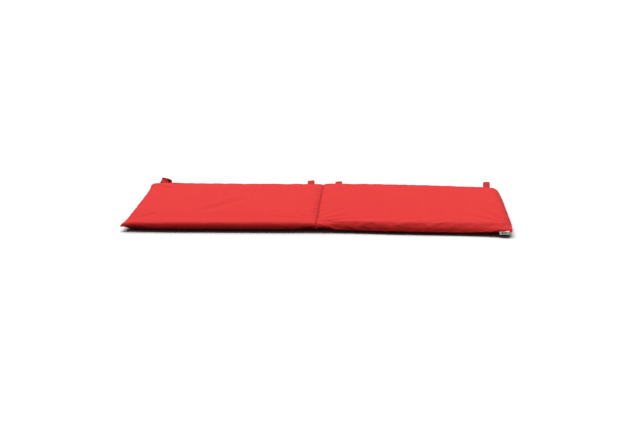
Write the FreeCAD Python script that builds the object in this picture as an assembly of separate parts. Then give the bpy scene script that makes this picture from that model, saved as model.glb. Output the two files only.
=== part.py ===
"""Two-section folding padded mat: a soft fabric cover in two halves, joined by a sewn fold line.

Frame: +X runs along the mat to its right-hand section, +Y runs to the back edge that carries the
strap loops, +Z is up. The origin is the middle of the whole footprint, loops and label included,
on the surface that the mat lies on. The fold line is the plane x = 0. Lengths are in millimetres
and angles in degrees.

Each half is a cover of two panels sewn together at mid height, a wadding wrap and a foam core,
with a zip in its back edge so that the filling can be taken out. The right half folds up and over
the left half about an axis just above the upper face.
"""

import FreeCAD
import Part
import math
import os

# Overall sizes of one half and of the pair
section_length = 600.0  # fold line to outer edge
mat_depth = 480.0  # front seam to back seam
mat_thickness = 42.0
corner_radius = 18.0  # seen from above
edge_radius = 12.0  # rounding of the upper and lower edges
fold_gap = 4.0  # between the facing sides of the two halves

# Layers, from outside in
fabric_thickness = 0.8
layer_clearance = 0.2
wadding_thickness = 5.0
core_back_space = 4.5  # free depth behind the core, for the zip and the loop ends
fold_space = 14.0  # free width between the filling and the fold line, where the cover bends

# Moving clearances
running_clearance = 0.3
loop_clearance = 0.4  # from the back edge to a loop that stands straight up
fold_axis_clearance = 0.3  # fold axis above the upper face

# Fold seam
seam_end_inset = 12.0  # the sewn web stops this far from the front and back edges
thread_width = 0.8
thread_height = 0.4

# Strap loops in the back seam
strap_width = 23.0
strap_thickness = 1.6
loop_root_length = 12.0  # the two ends lie on each other over this length
loop_length = 52.0  # pivot to the middle of the round end
loop_end_radius = 9.0
loop_tab_length = 4.0  # sewn-in ends
bartack_length = 2.4
bartack_margin = 1.5  # fabric left beside the bartack at each side of the strap
LOOPS = (
    # name, section side, inset of the loop's middle, measured from, lean above level
    ("left_outer_loop", -1, 45.0, "outer edge", 1.0),
    ("left_inner_loop", -1, 42.0, "fold line", 4.5),
    ("right_inner_loop", 1, 51.0, "fold line", -2.0),
    ("right_outer_loop", 1, 38.0, "outer edge", 5.5),
)

# Zip in the back edge of each half
zip_length = 400.0
tape_thickness = 0.6
tape_edge_clearance = 0.4
coil_slot = 1.6  # between the two rows of coils, for the slider's neck
coil_width = 2.2
coil_height = 2.2
stop_length = 2.5

slider_length = 11.0
slider_plate = 1.2
slider_flange = 1.0
slider_window_clearance = 0.6  # from the slider to the folded cover edges
neck_length = 2.6
neck_width = 1.0
bridge_length = 7.0
bridge_width = 1.6
bridge_rise = 3.0
bridge_bar = 0.9
pull_pin_radius = 0.6
pull_pin_lift = 0.9  # pin centre above the slider's outer plate
pull_arm_width = 1.0
pull_arm_gap = 0.5  # between the bridge and each arm
pull_thickness = 1.0
pull_eye = 4.6  # pin centre to the tab
pull_length = 16.0

# Woven side label in the front seam of the right half
label_width = 32.0
label_drop = 13.0
label_thickness = 0.8
label_inset = 12.0  # from the outer edge
label_pivot_offset = 0.9  # pivot line in front of the front edge

# Places that follow from the sizes above
loop_pivot_offset = strap_thickness + thread_height + loop_clearance  # pivot line behind the back edge
zip_window = 2 * (coil_slot / 2 + coil_width + running_clearance + slider_flange + slider_window_clearance)
loop_reach = loop_pivot_offset + max(
    loop_length * math.cos(math.radians(lean)) + loop_end_radius for *_, lean in LOOPS
)
label_reach = label_pivot_offset + label_thickness / 2
front_y = -(mat_depth + loop_reach - label_reach) / 2
back_y = front_y + mat_depth
mid_z = mat_thickness / 2
inner_x = fold_gap / 2
filling_inset = fabric_thickness + layer_clearance
wadding_inner = filling_inset + wadding_thickness
fold_axis_z = mat_thickness + fold_axis_clearance

X_AXIS = FreeCAD.Vector(1, 0, 0)
Y_AXIS = FreeCAD.Vector(0, 1, 0)
Z_AXIS = FreeCAD.Vector(0, 0, 1)
ORIGIN = FreeCAD.Vector(0, 0, 0)


def block(x_span, y_span, z_span):
    """A box between two x, two y and two z values."""
    (x0, x1), (y0, y1), (z0, z1) = (sorted(span) for span in (x_span, y_span, z_span))
    return Part.makeBox(x1 - x0, y1 - y0, z1 - z0, FreeCAD.Vector(x0, y0, z0))


def mirrored(shape):
    """The same piece of the other half."""
    return shape.mirror(ORIGIN, X_AXIS)


def edges_along(shape, direction):
    """The straight edges of a shape that run along a direction."""
    found = []
    for edge in shape.Edges:
        straight = edge.Curve.TypeId == "Part::GeomLine"
        if straight and abs(edge.tangentAt(edge.FirstParameter).dot(direction)) > 0.999:
            found.append(edge)
    return found


def half_body(inset):
    """The rounded block of the left half, with every face moved inwards by inset."""
    body = block(
        (-section_length + inset, -inner_x - inset),
        (front_y + inset, back_y - inset),
        (inset, mat_thickness - inset),
    )
    body = body.makeFillet(corner_radius - inset, edges_along(body, Z_AXIS))
    rims = []
    for face in body.Faces:
        if abs(face.normalAt(0, 0).dot(Z_AXIS)) > 0.999:
            rims.extend(face.Edges)
    return body.makeFillet(edge_radius - inset, rims)


def zip_ends():
    """Where the zip of the left half starts and ends along x, outer end first."""
    middle = -(section_length + inner_x) / 2
    return middle - zip_length / 2, middle + zip_length / 2


def zip_slot():
    """The slot that the zip leaves open between the two cover panels."""
    x0, x1 = zip_ends()
    half = zip_window / 2
    return block((x0, x1), (back_y - 2 * fabric_thickness, back_y + 1), (mid_z - half, mid_z + half))


def loop_middle(side, inset, measured_from):
    """The x of a loop's middle."""
    return side * (section_length - inset if measured_from == "outer edge" else inner_x + inset)


def loop_tabs(side):
    """The strap ends that are held in the back seam of one half."""
    tabs = []
    for _, loop_side, inset, measured_from, _ in LOOPS:
        if loop_side == side:
            x = loop_middle(side, inset, measured_from)
            tabs.append(
                block(
                    (x - strap_width / 2, x + strap_width / 2),
                    (back_y - loop_tab_length, back_y),
                    (mid_z - strap_thickness, mid_z + strap_thickness),
                )
            )
    return tabs


def cover_panels():
    """The upper and lower cover panels of the left half, before the loop ends are let in."""
    shell = half_body(0).cut(half_body(fabric_thickness)).cut(zip_slot())
    room = 50.0
    reach = ((-section_length - room, room), (front_y - room, back_y + room))
    upper = shell.common(block(*reach, (mid_z, mat_thickness + room)))
    lower = shell.common(block(*reach, (-room, mid_z)))
    return upper, lower


def wadding_wrap():
    """Wadding over, under and in front of the core, open at the back and at both ends."""
    hollow = block(
        (-section_length, 0),
        (front_y + wadding_inner, back_y),
        (wadding_inner, mat_thickness - wadding_inner),
    )
    bend = block((-fold_space, 0), (front_y, back_y), (0, mat_thickness))
    return half_body(filling_inset).cut(hollow).cut(bend)


def foam_core():
    """The foam slab, rounded where the cover is rounded."""
    gap = wadding_inner + layer_clearance
    slab = block(
        (-section_length, -fold_space),
        (front_y + gap, back_y - core_back_space),
        (gap, mat_thickness - gap),
    )
    return slab.common(half_body(filling_inset + layer_clearance))


def tape_reach():
    """How far a zip tape reaches up or down from mid height."""
    return mid_z - edge_radius - tape_edge_clearance


def zip_tape(side):
    """One zip tape behind the cover's edge. side is 1 for the upper one and -1 for the lower."""
    x0, x1 = zip_ends()
    outer = back_y - fabric_thickness
    return block(
        (x0 - stop_length, x1 + stop_length),
        (outer - tape_thickness, outer),
        (mid_z + side * coil_slot / 2, mid_z + side * tape_reach()),
    )


def zip_coil(side):
    """One row of zip coils on the outer face of its tape, between the stops."""
    x0, x1 = zip_ends()
    face = back_y - fabric_thickness
    near = coil_slot / 2
    return block(
        (x0 + stop_length, x1 - stop_length),
        (face, face + coil_height),
        (mid_z + side * near, mid_z + side * (near + coil_width)),
    )


def zip_stops():
    """The stops at the zip's two ends: a pair of clips at one and a joined clip at the other."""
    x0, x1 = zip_ends()
    face = back_y - fabric_thickness
    half = coil_slot / 2 + coil_width
    height = (face, face + coil_height)
    clips = [
        block((x0, x0 + stop_length), height, (mid_z + side * coil_slot / 2, mid_z + side * half))
        for side in (-1, 1)
    ]
    clips.append(block((x1 - stop_length, x1), height, (mid_z - half, mid_z + half)))
    return clips


def zip_stitching():
    """The two rows of stitches that hold the cover's folded edges to the tapes."""
    x0, x1 = zip_ends()
    rows = []
    for side in (-1, 1):
        z = mid_z + side * (zip_window / 2 + tape_reach()) / 2
        rows.append(
            block((x0, x1), (back_y, back_y + thread_height), (z - thread_width / 2, z + thread_width / 2))
        )
    return rows


def slider_x():
    """The middle of the left zip's slider with the zip closed: against the outer stops."""
    return zip_ends()[0] + stop_length + running_clearance + slider_length / 2


def plate_outer_face():
    """The y of the slider plate's outer face."""
    return back_y - fabric_thickness + coil_height + running_clearance + slider_plate


def pull_axis_y():
    """The y of the pin that the zip pull turns on."""
    return plate_outer_face() + pull_pin_lift


def zip_slider():
    """The slider: two plates joined by a neck, side flanges round the coils and a bridge for the pull."""
    x = slider_x()
    span = (x - slider_length / 2, x + slider_length / 2)
    tape_outer = back_y - fabric_thickness
    coil_top = tape_outer + coil_height
    outer_plate = (coil_top + running_clearance, plate_outer_face())
    inner_face = tape_outer - tape_thickness - running_clearance
    inner_plate = (inner_face - slider_plate, inner_face)
    flange_in = coil_slot / 2 + coil_width + running_clearance
    flange_out = flange_in + slider_flange
    body = block(span, outer_plate, (mid_z - flange_out, mid_z + flange_out))
    body = body.fuse(block(span, inner_plate, (mid_z - flange_out, mid_z + flange_out)))
    for side in (-1, 1):
        flange = (mid_z + side * flange_in, mid_z + side * flange_out)
        body = body.fuse(block(span, (tape_outer + running_clearance, outer_plate[1]), flange))
    neck = block(
        (span[0], span[0] + neck_length),
        (inner_plate[0], outer_plate[1]),
        (mid_z - neck_width / 2, mid_z + neck_width / 2),
    )
    body = body.fuse(neck)
    bridge_y = (outer_plate[1], outer_plate[1] + bridge_rise)
    bridge_z = (mid_z - bridge_width / 2, mid_z + bridge_width / 2)
    bridge = block((x - bridge_length / 2, x + bridge_length / 2), bridge_y, bridge_z)
    eye = block(
        (x - bridge_length / 2 + bridge_bar, x + bridge_length / 2 - bridge_bar),
        (bridge_y[0], bridge_y[1] - bridge_bar),
        bridge_z,
    )
    return body.fuse(bridge.cut(eye)).removeSplitter()


def zip_pull():
    """The pull tab, lying along the zip: a pin under the bridge, two arms and a flat tab."""
    x = slider_x()
    y = pull_axis_y()
    arm_in = bridge_width / 2 + pull_arm_gap
    arm_out = arm_in + pull_arm_width
    pin_base = FreeCAD.Vector(x, y, mid_z - arm_out)
    pull = Part.makeCylinder(pull_pin_radius, 2 * arm_out, pin_base, Z_AXIS)
    depth = (y - pull_thickness / 2, y + pull_thickness / 2)
    for side in (-1, 1):
        arm = (mid_z + side * arm_in, mid_z + side * arm_out)
        pull = pull.fuse(block((x, x + pull_eye), depth, arm))
    tab = block((x + pull_eye, x + pull_length), depth, (mid_z - arm_out, mid_z + arm_out))
    far_corners = [edge for edge in edges_along(tab, Y_AXIS) if edge.CenterOfMass.x > x + pull_eye + 1]
    tab = tab.makeFillet(arm_out * 0.6, far_corners)
    return pull.fuse(tab).removeSplitter()


def loop_outline(reach, half_root, end_radius):
    """Half a loop outline from its root to its round end: the tangent point and the slope.

    The line starts at (reach, half_root) and touches the end circle round (loop_length, 0).
    """
    to_centre = math.hypot(loop_length - reach, half_root)
    slope = math.asin(end_radius / to_centre) - math.atan2(half_root, loop_length - reach)
    touch = (loop_length - end_radius * math.sin(slope), end_radius * math.cos(slope))
    return touch, slope


def in_yz(y, z):
    """A point of the loop's own side view."""
    return FreeCAD.Vector(0, y, z)


def strap_loop(x, lean):
    """A closed strap loop that leans up from its pivot line at the back seam."""
    half_root = strap_thickness
    touch, slope = loop_outline(loop_root_length, half_root, loop_end_radius)
    far = loop_length + loop_end_radius
    outer = Part.Wire(
        [
            Part.Arc(in_yz(0, -half_root), in_yz(-half_root, 0), in_yz(0, half_root)).toShape(),
            Part.LineSegment(in_yz(0, half_root), in_yz(loop_root_length, half_root)).toShape(),
            Part.LineSegment(in_yz(loop_root_length, half_root), in_yz(*touch)).toShape(),
            Part.Arc(in_yz(*touch), in_yz(far, 0), in_yz(touch[0], -touch[1])).toShape(),
            Part.LineSegment(in_yz(touch[0], -touch[1]), in_yz(loop_root_length, -half_root)).toShape(),
            Part.LineSegment(in_yz(loop_root_length, -half_root), in_yz(0, -half_root)).toShape(),
        ]
    )
    inner_radius = loop_end_radius - strap_thickness
    apex = in_yz(loop_length - inner_radius / math.sin(slope), 0)
    start_y = loop_length - inner_radius * math.sin(slope)
    start_z = inner_radius * math.cos(slope)
    above = in_yz(start_y, start_z)
    below = in_yz(start_y, -start_z)
    inner = Part.Wire(
        [
            Part.LineSegment(apex, above).toShape(),
            Part.Arc(above, in_yz(loop_length + inner_radius, 0), below).toShape(),
            Part.LineSegment(below, apex).toShape(),
        ]
    )
    width = FreeCAD.Vector(strap_width, 0, 0)
    loop = Part.Face(outer).extrude(width).cut(Part.Face(inner).extrude(width))
    return placed_on_pivot(loop, x, lean)


def loop_bartacks(x, lean):
    """The dense stitches across the loop's root, one on each face of the strap."""
    start = loop_root_length - bartack_length - 1
    tacks = []
    for side in (-1, 1):
        tacks.append(
            block(
                (bartack_margin, strap_width - bartack_margin),
                (start, start + bartack_length),
                (side * strap_thickness, side * (strap_thickness + thread_height)),
            )
        )
    return [placed_on_pivot(tack, x, lean) for tack in tacks]


def placed_on_pivot(shape, x, lean):
    """A piece of a loop, turned up by its lean and moved to its place on the back seam."""
    shape = shape.copy()
    shape.rotate(ORIGIN, X_AXIS, lean)
    shape.translate(FreeCAD.Vector(x - strap_width / 2, back_y + loop_pivot_offset, mid_z))
    return shape


def fold_seam_web():
    """The two cover layers, sewn together along the fold line at mid height."""
    return block(
        (-inner_x, inner_x - running_clearance),
        (front_y + seam_end_inset, back_y - seam_end_inset),
        (mid_z - fabric_thickness, mid_z + fabric_thickness),
    )


def fold_seam_thread():
    """The rows of thread above and below the fold seam."""
    rows = []
    for side in (-1, 1):
        face = mid_z + side * fabric_thickness
        rows.append(
            block(
                (-thread_width / 2, thread_width / 2),
                (front_y + seam_end_inset, back_y - seam_end_inset),
                (face, face + side * thread_height),
            )
        )
    return rows


def side_label():
    """The folded woven label, hanging from the front seam near the outer end of the right half."""
    x1 = section_length - label_inset
    y = front_y - label_pivot_offset
    half = label_thickness / 2
    flap = block((x1 - label_width, x1), (y - half, y + half), (mid_z - label_drop, mid_z))
    root = Part.makeCylinder(half, label_width, FreeCAD.Vector(x1 - label_width, y, mid_z), X_AXIS)
    return flap.fuse(root)


def save(name, shapes):
    """Writes one node. Several shapes become one group of separate solids."""
    shape = shapes if not isinstance(shapes, list) else Part.makeCompound(shapes)
    if not shape.isValid():
        raise ValueError(name + " is not a valid shape")
    shape.exportStep(os.path.join("parts", name + ".step"))
    print(name, "solids", len(shape.Solids), "volume", round(shape.Volume, 1))


def left_half():
    """Every fixed piece of the left half, by its name without the side."""
    upper, lower = cover_panels()
    return {
        "top_panel": upper,
        "bottom_panel": lower,
        "wadding_wrap": wadding_wrap(),
        "foam_core": foam_core(),
        "zip_upper_tape": zip_tape(1),
        "zip_lower_tape": zip_tape(-1),
        "zip_upper_coil": zip_coil(1),
        "zip_lower_coil": zip_coil(-1),
        "zip_stops": Part.makeCompound(zip_stops()),
        "zip_stitching": Part.makeCompound(zip_stitching()),
        "zip_slider": zip_slider(),
        "zip_pull": zip_pull(),
    }


def main():
    os.makedirs("parts", exist_ok=True)
    half = left_half()
    for side, word in ((-1, "left"), (1, "right")):
        tabs = loop_tabs(side)
        for name, shape in half.items():
            piece = shape if side < 0 else mirrored(shape)
            if name in ("top_panel", "bottom_panel"):
                piece = piece.cut(Part.makeCompound(tabs))
            save(word + "_" + name, piece)
        save(word + "_loop_tabs", tabs)
    for name, side, inset, measured_from, lean in LOOPS:
        x = loop_middle(side, inset, measured_from)
        save(name, strap_loop(x, lean))
        save(name + "_bartacks", loop_bartacks(x, lean))
    save("fold_seam_web", fold_seam_web())
    save("fold_seam_thread", fold_seam_thread())
    save("side_label", side_label())
    print("front_y", round(front_y, 3), "back_y", round(back_y, 3), "fold axis z", fold_axis_z)
    print("loop pivot y", round(back_y + loop_pivot_offset, 3), "pull axis y", round(pull_axis_y(), 3))
    print("slider x", round(slider_x(), 3), "slider travel", round(slider_travel(), 3))


def slider_travel():
    """How far a slider runs from its closed end to the joined stop."""
    return zip_length - 2 * stop_length - slider_length - 2 * running_clearance


main()
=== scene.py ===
"""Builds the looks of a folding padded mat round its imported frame.

The mat is a red woven cover in two halves over wadding and foam. The halves are sewn to each
other along the fold line, and each has a zip in its back edge and two webbing loops beside the
zip. Lengths are in metres in the frame's own axes: +X to the right half, +Y to the back, +Z up.
"""

import logging
import math
from dataclasses import dataclass, field
from enum import Enum

import bmesh
import bpy
import numpy as np
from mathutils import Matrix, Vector


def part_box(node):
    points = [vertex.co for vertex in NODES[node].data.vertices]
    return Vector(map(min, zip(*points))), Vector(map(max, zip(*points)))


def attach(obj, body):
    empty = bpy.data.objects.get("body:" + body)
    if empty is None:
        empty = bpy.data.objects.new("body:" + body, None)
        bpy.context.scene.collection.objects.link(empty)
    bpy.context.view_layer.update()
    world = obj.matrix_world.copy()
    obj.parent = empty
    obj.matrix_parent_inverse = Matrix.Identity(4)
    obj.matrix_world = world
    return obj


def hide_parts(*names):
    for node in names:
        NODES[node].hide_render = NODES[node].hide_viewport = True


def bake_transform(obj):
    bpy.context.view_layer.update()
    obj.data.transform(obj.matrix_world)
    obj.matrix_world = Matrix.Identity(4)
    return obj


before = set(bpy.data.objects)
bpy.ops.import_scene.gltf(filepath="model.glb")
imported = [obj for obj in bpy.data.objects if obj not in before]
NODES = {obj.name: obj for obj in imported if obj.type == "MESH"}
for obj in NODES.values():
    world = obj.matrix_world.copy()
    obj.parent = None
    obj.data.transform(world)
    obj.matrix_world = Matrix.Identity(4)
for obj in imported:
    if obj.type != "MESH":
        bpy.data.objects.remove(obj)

LOG = logging.getLogger("padded_mat")
MM = 0.001


class Side(Enum):
    """The two halves of the mat, with the sign of x on each."""

    LEFT = -1
    RIGHT = 1

    @property
    def word(self) -> str:
        """The half's name as the frame's nodes use it."""
        return self.name.lower()


class Face(Enum):
    """The two panels of a half's cover, with the sign of z on each."""

    TOP = 1
    BOTTOM = -1

    @property
    def word(self) -> str:
        """The panel's name as the frame's nodes use it."""
        return self.name.lower()


# ---------------------------------------------------------------- numbers and meshes


def smoothstep(t: np.ndarray) -> np.ndarray:
    """Eases a value from 0 to 1.

    Args:
        t: Any values. Below 0 gives 0 and above 1 gives 1.

    Returns:
        The eased values.
    """
    t = np.clip(t, 0.0, 1.0)
    return t * t * (3.0 - 2.0 * t)


class SmoothNoise:
    """Repeatable smooth noise over a plane, from a seeded lattice."""

    size = 64

    def __init__(self, seed: int) -> None:
        """Draws the lattice, which repeats after its size each way.

        Args:
            seed: The seed of the lattice.
        """
        self.lattice = np.random.default_rng(seed).uniform(-1.0, 1.0, (self.size, self.size))

    def at(self, x: np.ndarray, y: np.ndarray, scale: float) -> np.ndarray:
        """Reads the noise.

        Args:
            x: First coordinates, in metres.
            y: Second coordinates, in metres.
            scale: The size of one lattice cell, in metres.

        Returns:
            Values from -1 to 1.
        """
        u, v = np.broadcast_arrays(np.asarray(x) / scale, np.asarray(y) / scale)
        i, j = np.floor(u).astype(int), np.floor(v).astype(int)
        a, b = (w * w * w * (w * (w * 6 - 15) + 10) for w in (u - i, v - j))
        low_i, high_i = i % self.size, (i + 1) % self.size
        low_j, high_j = j % self.size, (j + 1) % self.size
        near = self.lattice[low_i, low_j] * (1 - a) + self.lattice[high_i, low_j] * a
        far = self.lattice[low_i, high_j] * (1 - a) + self.lattice[high_i, high_j] * a
        return near * (1 - b) + far * b


def new_object(name: str, points: np.ndarray, faces: list, smooth: bool = True) -> bpy.types.Object:
    """Makes a mesh object in the scene.

    Args:
        name: The piece's name.
        points: One row of x, y and z for each vertex.
        faces: Vertex indices of each face.
        smooth: Whether the faces are shaded smooth.

    Returns:
        The new object.
    """
    mesh = bpy.data.meshes.new(name)
    corners = [tuple(p) for p in np.asarray(points, float)]
    mesh.from_pydata(corners, [], [tuple(int(i) for i in f) for f in faces])
    mesh.validate()
    mesh.polygons.foreach_set("use_smooth", [smooth] * len(mesh.polygons))
    made = bpy.data.objects.new(name, mesh)
    bpy.context.scene.collection.objects.link(made)
    return made


def coordinates(mesh: bpy.types.Mesh) -> np.ndarray:
    """Reads a mesh's vertices as rows of x, y and z."""
    flat = np.empty(len(mesh.vertices) * 3)
    mesh.vertices.foreach_get("co", flat)
    return flat.reshape(-1, 3)


def apply_modifiers(piece: bpy.types.Object) -> None:
    """Turns a piece's modified shape into its own mesh and removes the modifiers."""
    bpy.context.view_layer.update()
    evaluated = piece.evaluated_get(bpy.context.evaluated_depsgraph_get())
    shaped = bpy.data.meshes.new_from_object(evaluated)
    old = piece.data
    piece.modifiers.clear()
    piece.data = shaped
    shaped.name = piece.name
    bpy.data.meshes.remove(old)


def subdivide(piece: bpy.types.Object, levels: int) -> None:
    """Smooths a piece with subdivision surfaces and applies them."""
    modifier = piece.modifiers.new("round", "SUBSURF")
    modifier.levels = levels
    modifier.render_levels = levels
    apply_modifiers(piece)


def tidy_normals(piece: bpy.types.Object, weld: float = 0.0) -> None:
    """Turns a closed piece's faces outwards.

    Args:
        piece: The piece.
        weld: Vertices nearer than this to each other are joined first, if it isn't 0.
    """
    shape = bmesh.new()
    shape.from_mesh(piece.data)
    if weld:
        bmesh.ops.remove_doubles(shape, verts=shape.verts, dist=weld)
    bmesh.ops.recalc_face_normals(shape, faces=shape.faces)
    shape.to_mesh(piece.data)
    shape.free()


def grid_faces(rows: int, columns: int, closed_columns: bool = False) -> list:
    """Lists the quads of a grid of vertices that is stored row by row.

    Args:
        rows: How many rows of vertices there are.
        columns: How many vertices each row has.
        closed_columns: Whether each row's last vertex joins its first.

    Returns:
        The vertex indices of each quad.
    """
    quads = []
    for r in range(rows - 1):
        here, there = r * columns, (r + 1) * columns
        for c in range(columns if closed_columns else columns - 1):
            d = (c + 1) % columns
            quads.append((here + c, here + d, there + d, there + c))
    return quads


class MeshPile:
    """Vertices and faces gathered from many small shapes into one piece."""

    def __init__(self) -> None:
        """Starts with nothing in the pile."""
        self.points: list = []
        self.faces: list = []

    def add(self, points: np.ndarray, faces: list) -> None:
        """Adds one shape.

        Args:
            points: The shape's vertices.
            faces: Its faces, counted from its own first vertex.
        """
        start = len(self.points)
        self.points.extend(np.asarray(points, float).tolist())
        self.faces.extend([tuple(start + i for i in f) for f in faces])

    def add_tube(
        self, path: np.ndarray, radii: tuple[float, float], sides: int = 8, up: tuple = (0, 0, 1)
    ) -> None:
        """Adds a tube with closed ends along a path.

        Args:
            path: The centre line's points.
            radii: The radius across and the radius along up.
            sides: How many sides its section has.
            up: The direction that the second radius is measured along.
        """
        path = np.asarray(path, float)
        along = np.gradient(path, axis=0)
        along /= np.linalg.norm(along, axis=1)[:, None]
        across = np.cross(along, np.asarray(up, float))
        across /= np.linalg.norm(across, axis=1)[:, None]
        lift = np.cross(across, along)
        turn = np.arange(sides) * 2 * math.pi / sides
        rings = (
            path[:, None]
            + across[:, None] * (np.cos(turn) * radii[0])[None, :, None]
            + lift[:, None] * (np.sin(turn) * radii[1])[None, :, None]
        )
        faces = grid_faces(len(path), sides, closed_columns=True)
        faces.append(tuple(range(sides))[::-1])
        faces.append(tuple(range((len(path) - 1) * sides, len(path) * sides)))
        self.add(rings.reshape(-1, 3), faces)

    def add_shell(self, grid: np.ndarray, thickness: float) -> int:
        """Adds a thin closed shell over a grid of points.

        Args:
            grid: Rows and columns of points on one face.
            thickness: How far the other face lies from it, along the grid's own normals.

        Returns:
            How many quads the first face has. They are the first of the shell's faces.
        """
        out = np.cross(np.gradient(grid, axis=0), np.gradient(grid, axis=1))
        out /= np.linalg.norm(out, axis=-1)[..., None] + 1e-12
        rows, columns = grid.shape[:2]
        size = rows * columns
        index = np.arange(size).reshape(rows, columns)
        sides = (index[:, 0], index[-1, 1:], index[-2::-1, -1], index[0, -2:0:-1])
        rim = np.concatenate(sides).tolist()
        quads = grid_faces(rows, columns)
        faces = [quad[::-1] for quad in quads] + [tuple(i + size for i in quad) for quad in quads]
        faces += [(p, q, q + size, p + size) for p, q in zip(rim, rim[1:] + rim[:1])]
        self.add(np.concatenate([grid, grid + out * thickness]).reshape(-1, 3), faces)
        return len(quads)

    def make(self, name: str) -> bpy.types.Object:
        """Makes the pile into one object with this name."""
        return new_object(name, np.array(self.points), self.faces)


# ---------------------------------------------------------------- finishes


class Graph:
    """A short way to write shader nodes into one tree."""

    def __init__(self, tree: bpy.types.NodeTree) -> None:
        """Keeps the node tree that the nodes go into."""
        self.tree = tree

    def node(self, kind: str, **settings: object) -> bpy.types.Node:
        """Adds a node.

        Args:
            kind: The node's type name after "ShaderNode".
            **settings: Values for the node's own settings.

        Returns:
            The node.
        """
        made = self.tree.nodes.new("ShaderNode" + kind)
        for name, value in settings.items():
            setattr(made, name, value)
        return made

    def feed(self, socket: bpy.types.NodeSocket, value: object) -> None:
        """Links an output to a socket, or sets the socket to a plain value."""
        if isinstance(value, bpy.types.NodeSocket):
            self.tree.links.new(value, socket)
        else:
            socket.default_value = value

    def math(self, operation: str, *values: object, clamp: bool = False) -> bpy.types.NodeSocket:
        """Adds a Math node.

        Args:
            operation: The Math node's operation.
            *values: One value or output for each input.
            clamp: Whether the result is kept from 0 to 1.

        Returns:
            The result's output.
        """
        made = self.node("Math", operation=operation, use_clamp=clamp)
        for socket, value in zip(made.inputs, values):
            self.feed(socket, value)
        return made.outputs[0]

    def place(self) -> bpy.types.NodeSocket:
        """Adds the coordinates of the place on the piece, in its own axes."""
        return self.node("TexCoord").outputs["Object"]

    def fill(self, shader: bpy.types.Node, values: dict[str, object]) -> None:
        """Feeds a shader's sockets, each by its name, with outputs or plain values."""
        for name, value in values.items():
            self.feed(shader.inputs[name], value)

    def scaled(self, vector: object, factors: tuple[float, float, float]) -> bpy.types.NodeSocket:
        """Multiplies a vector's three parts by three factors."""
        made = self.node("VectorMath", operation="MULTIPLY")
        self.feed(made.inputs[0], vector)
        made.inputs[1].default_value = factors
        return made.outputs[0]

    def noise(
        self, vector: object, scale: object, detail: float, roughness: float = 0.5
    ) -> bpy.types.NodeSocket:
        """Adds a Noise Texture and returns its factor."""
        made = self.node("TexNoise")
        self.feed(made.inputs["Vector"], vector)
        self.feed(made.inputs["Scale"], scale)
        made.inputs["Detail"].default_value = detail
        made.inputs["Roughness"].default_value = roughness
        return made.outputs["Fac"]

    def mix(self, factor: object, first: object, second: object) -> bpy.types.NodeSocket:
        """Mixes two colours and returns the result."""
        made = self.node("Mix", data_type="RGBA")
        self.feed(made.inputs[0], factor)
        self.feed(made.inputs[6], first)
        self.feed(made.inputs[7], second)
        return made.outputs[2]

    def spread(
        self, value: object, low: float, high: float, to_low: float, to_high: float
    ) -> bpy.types.NodeSocket:
        """Maps a value from one range to another and keeps it inside."""
        made = self.node("MapRange")
        for socket, number in zip(made.inputs, (value, low, high, to_low, to_high)):
            self.feed(socket, number)
        return made.outputs[0]

    def bump(self, height: object, distance: float) -> bpy.types.NodeSocket:
        """Adds a Bump node and returns its normal."""
        made = self.node("Bump")
        made.inputs["Strength"].default_value = 1.0
        made.inputs["Distance"].default_value = distance
        self.feed(made.inputs["Height"], height)
        return made.outputs["Normal"]


def make_group(
    name: str, inputs: dict[str, object], outputs: dict[str, str]
) -> tuple[bpy.types.NodeTree, Graph, dict, dict]:
    """Makes an empty shader node group.

    Args:
        name: The group's name.
        inputs: Each input's name, with a number, or with None for a vector.
        outputs: Each output's name with its socket's type.

    Returns:
        The tree, a graph to write into it, its inputs by name and its output sockets by name.
    """
    tree = bpy.data.node_groups.new(name, "ShaderNodeTree")
    for key, value in inputs.items():
        kind = "NodeSocketVector" if value is None else "NodeSocketFloat"
        socket = tree.interface.new_socket(name=key, in_out="INPUT", socket_type=kind)
        if value is not None:
            socket.default_value = value
    for key, kind in outputs.items():
        tree.interface.new_socket(name=key, in_out="OUTPUT", socket_type=kind)
    graph = Graph(tree)
    given = tree.nodes.new("NodeGroupInput")
    result = tree.nodes.new("NodeGroupOutput")
    into = {key: given.outputs[key] for key in inputs}
    out = {key: result.inputs[key] for key in outputs}
    return tree, graph, into, out


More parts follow.
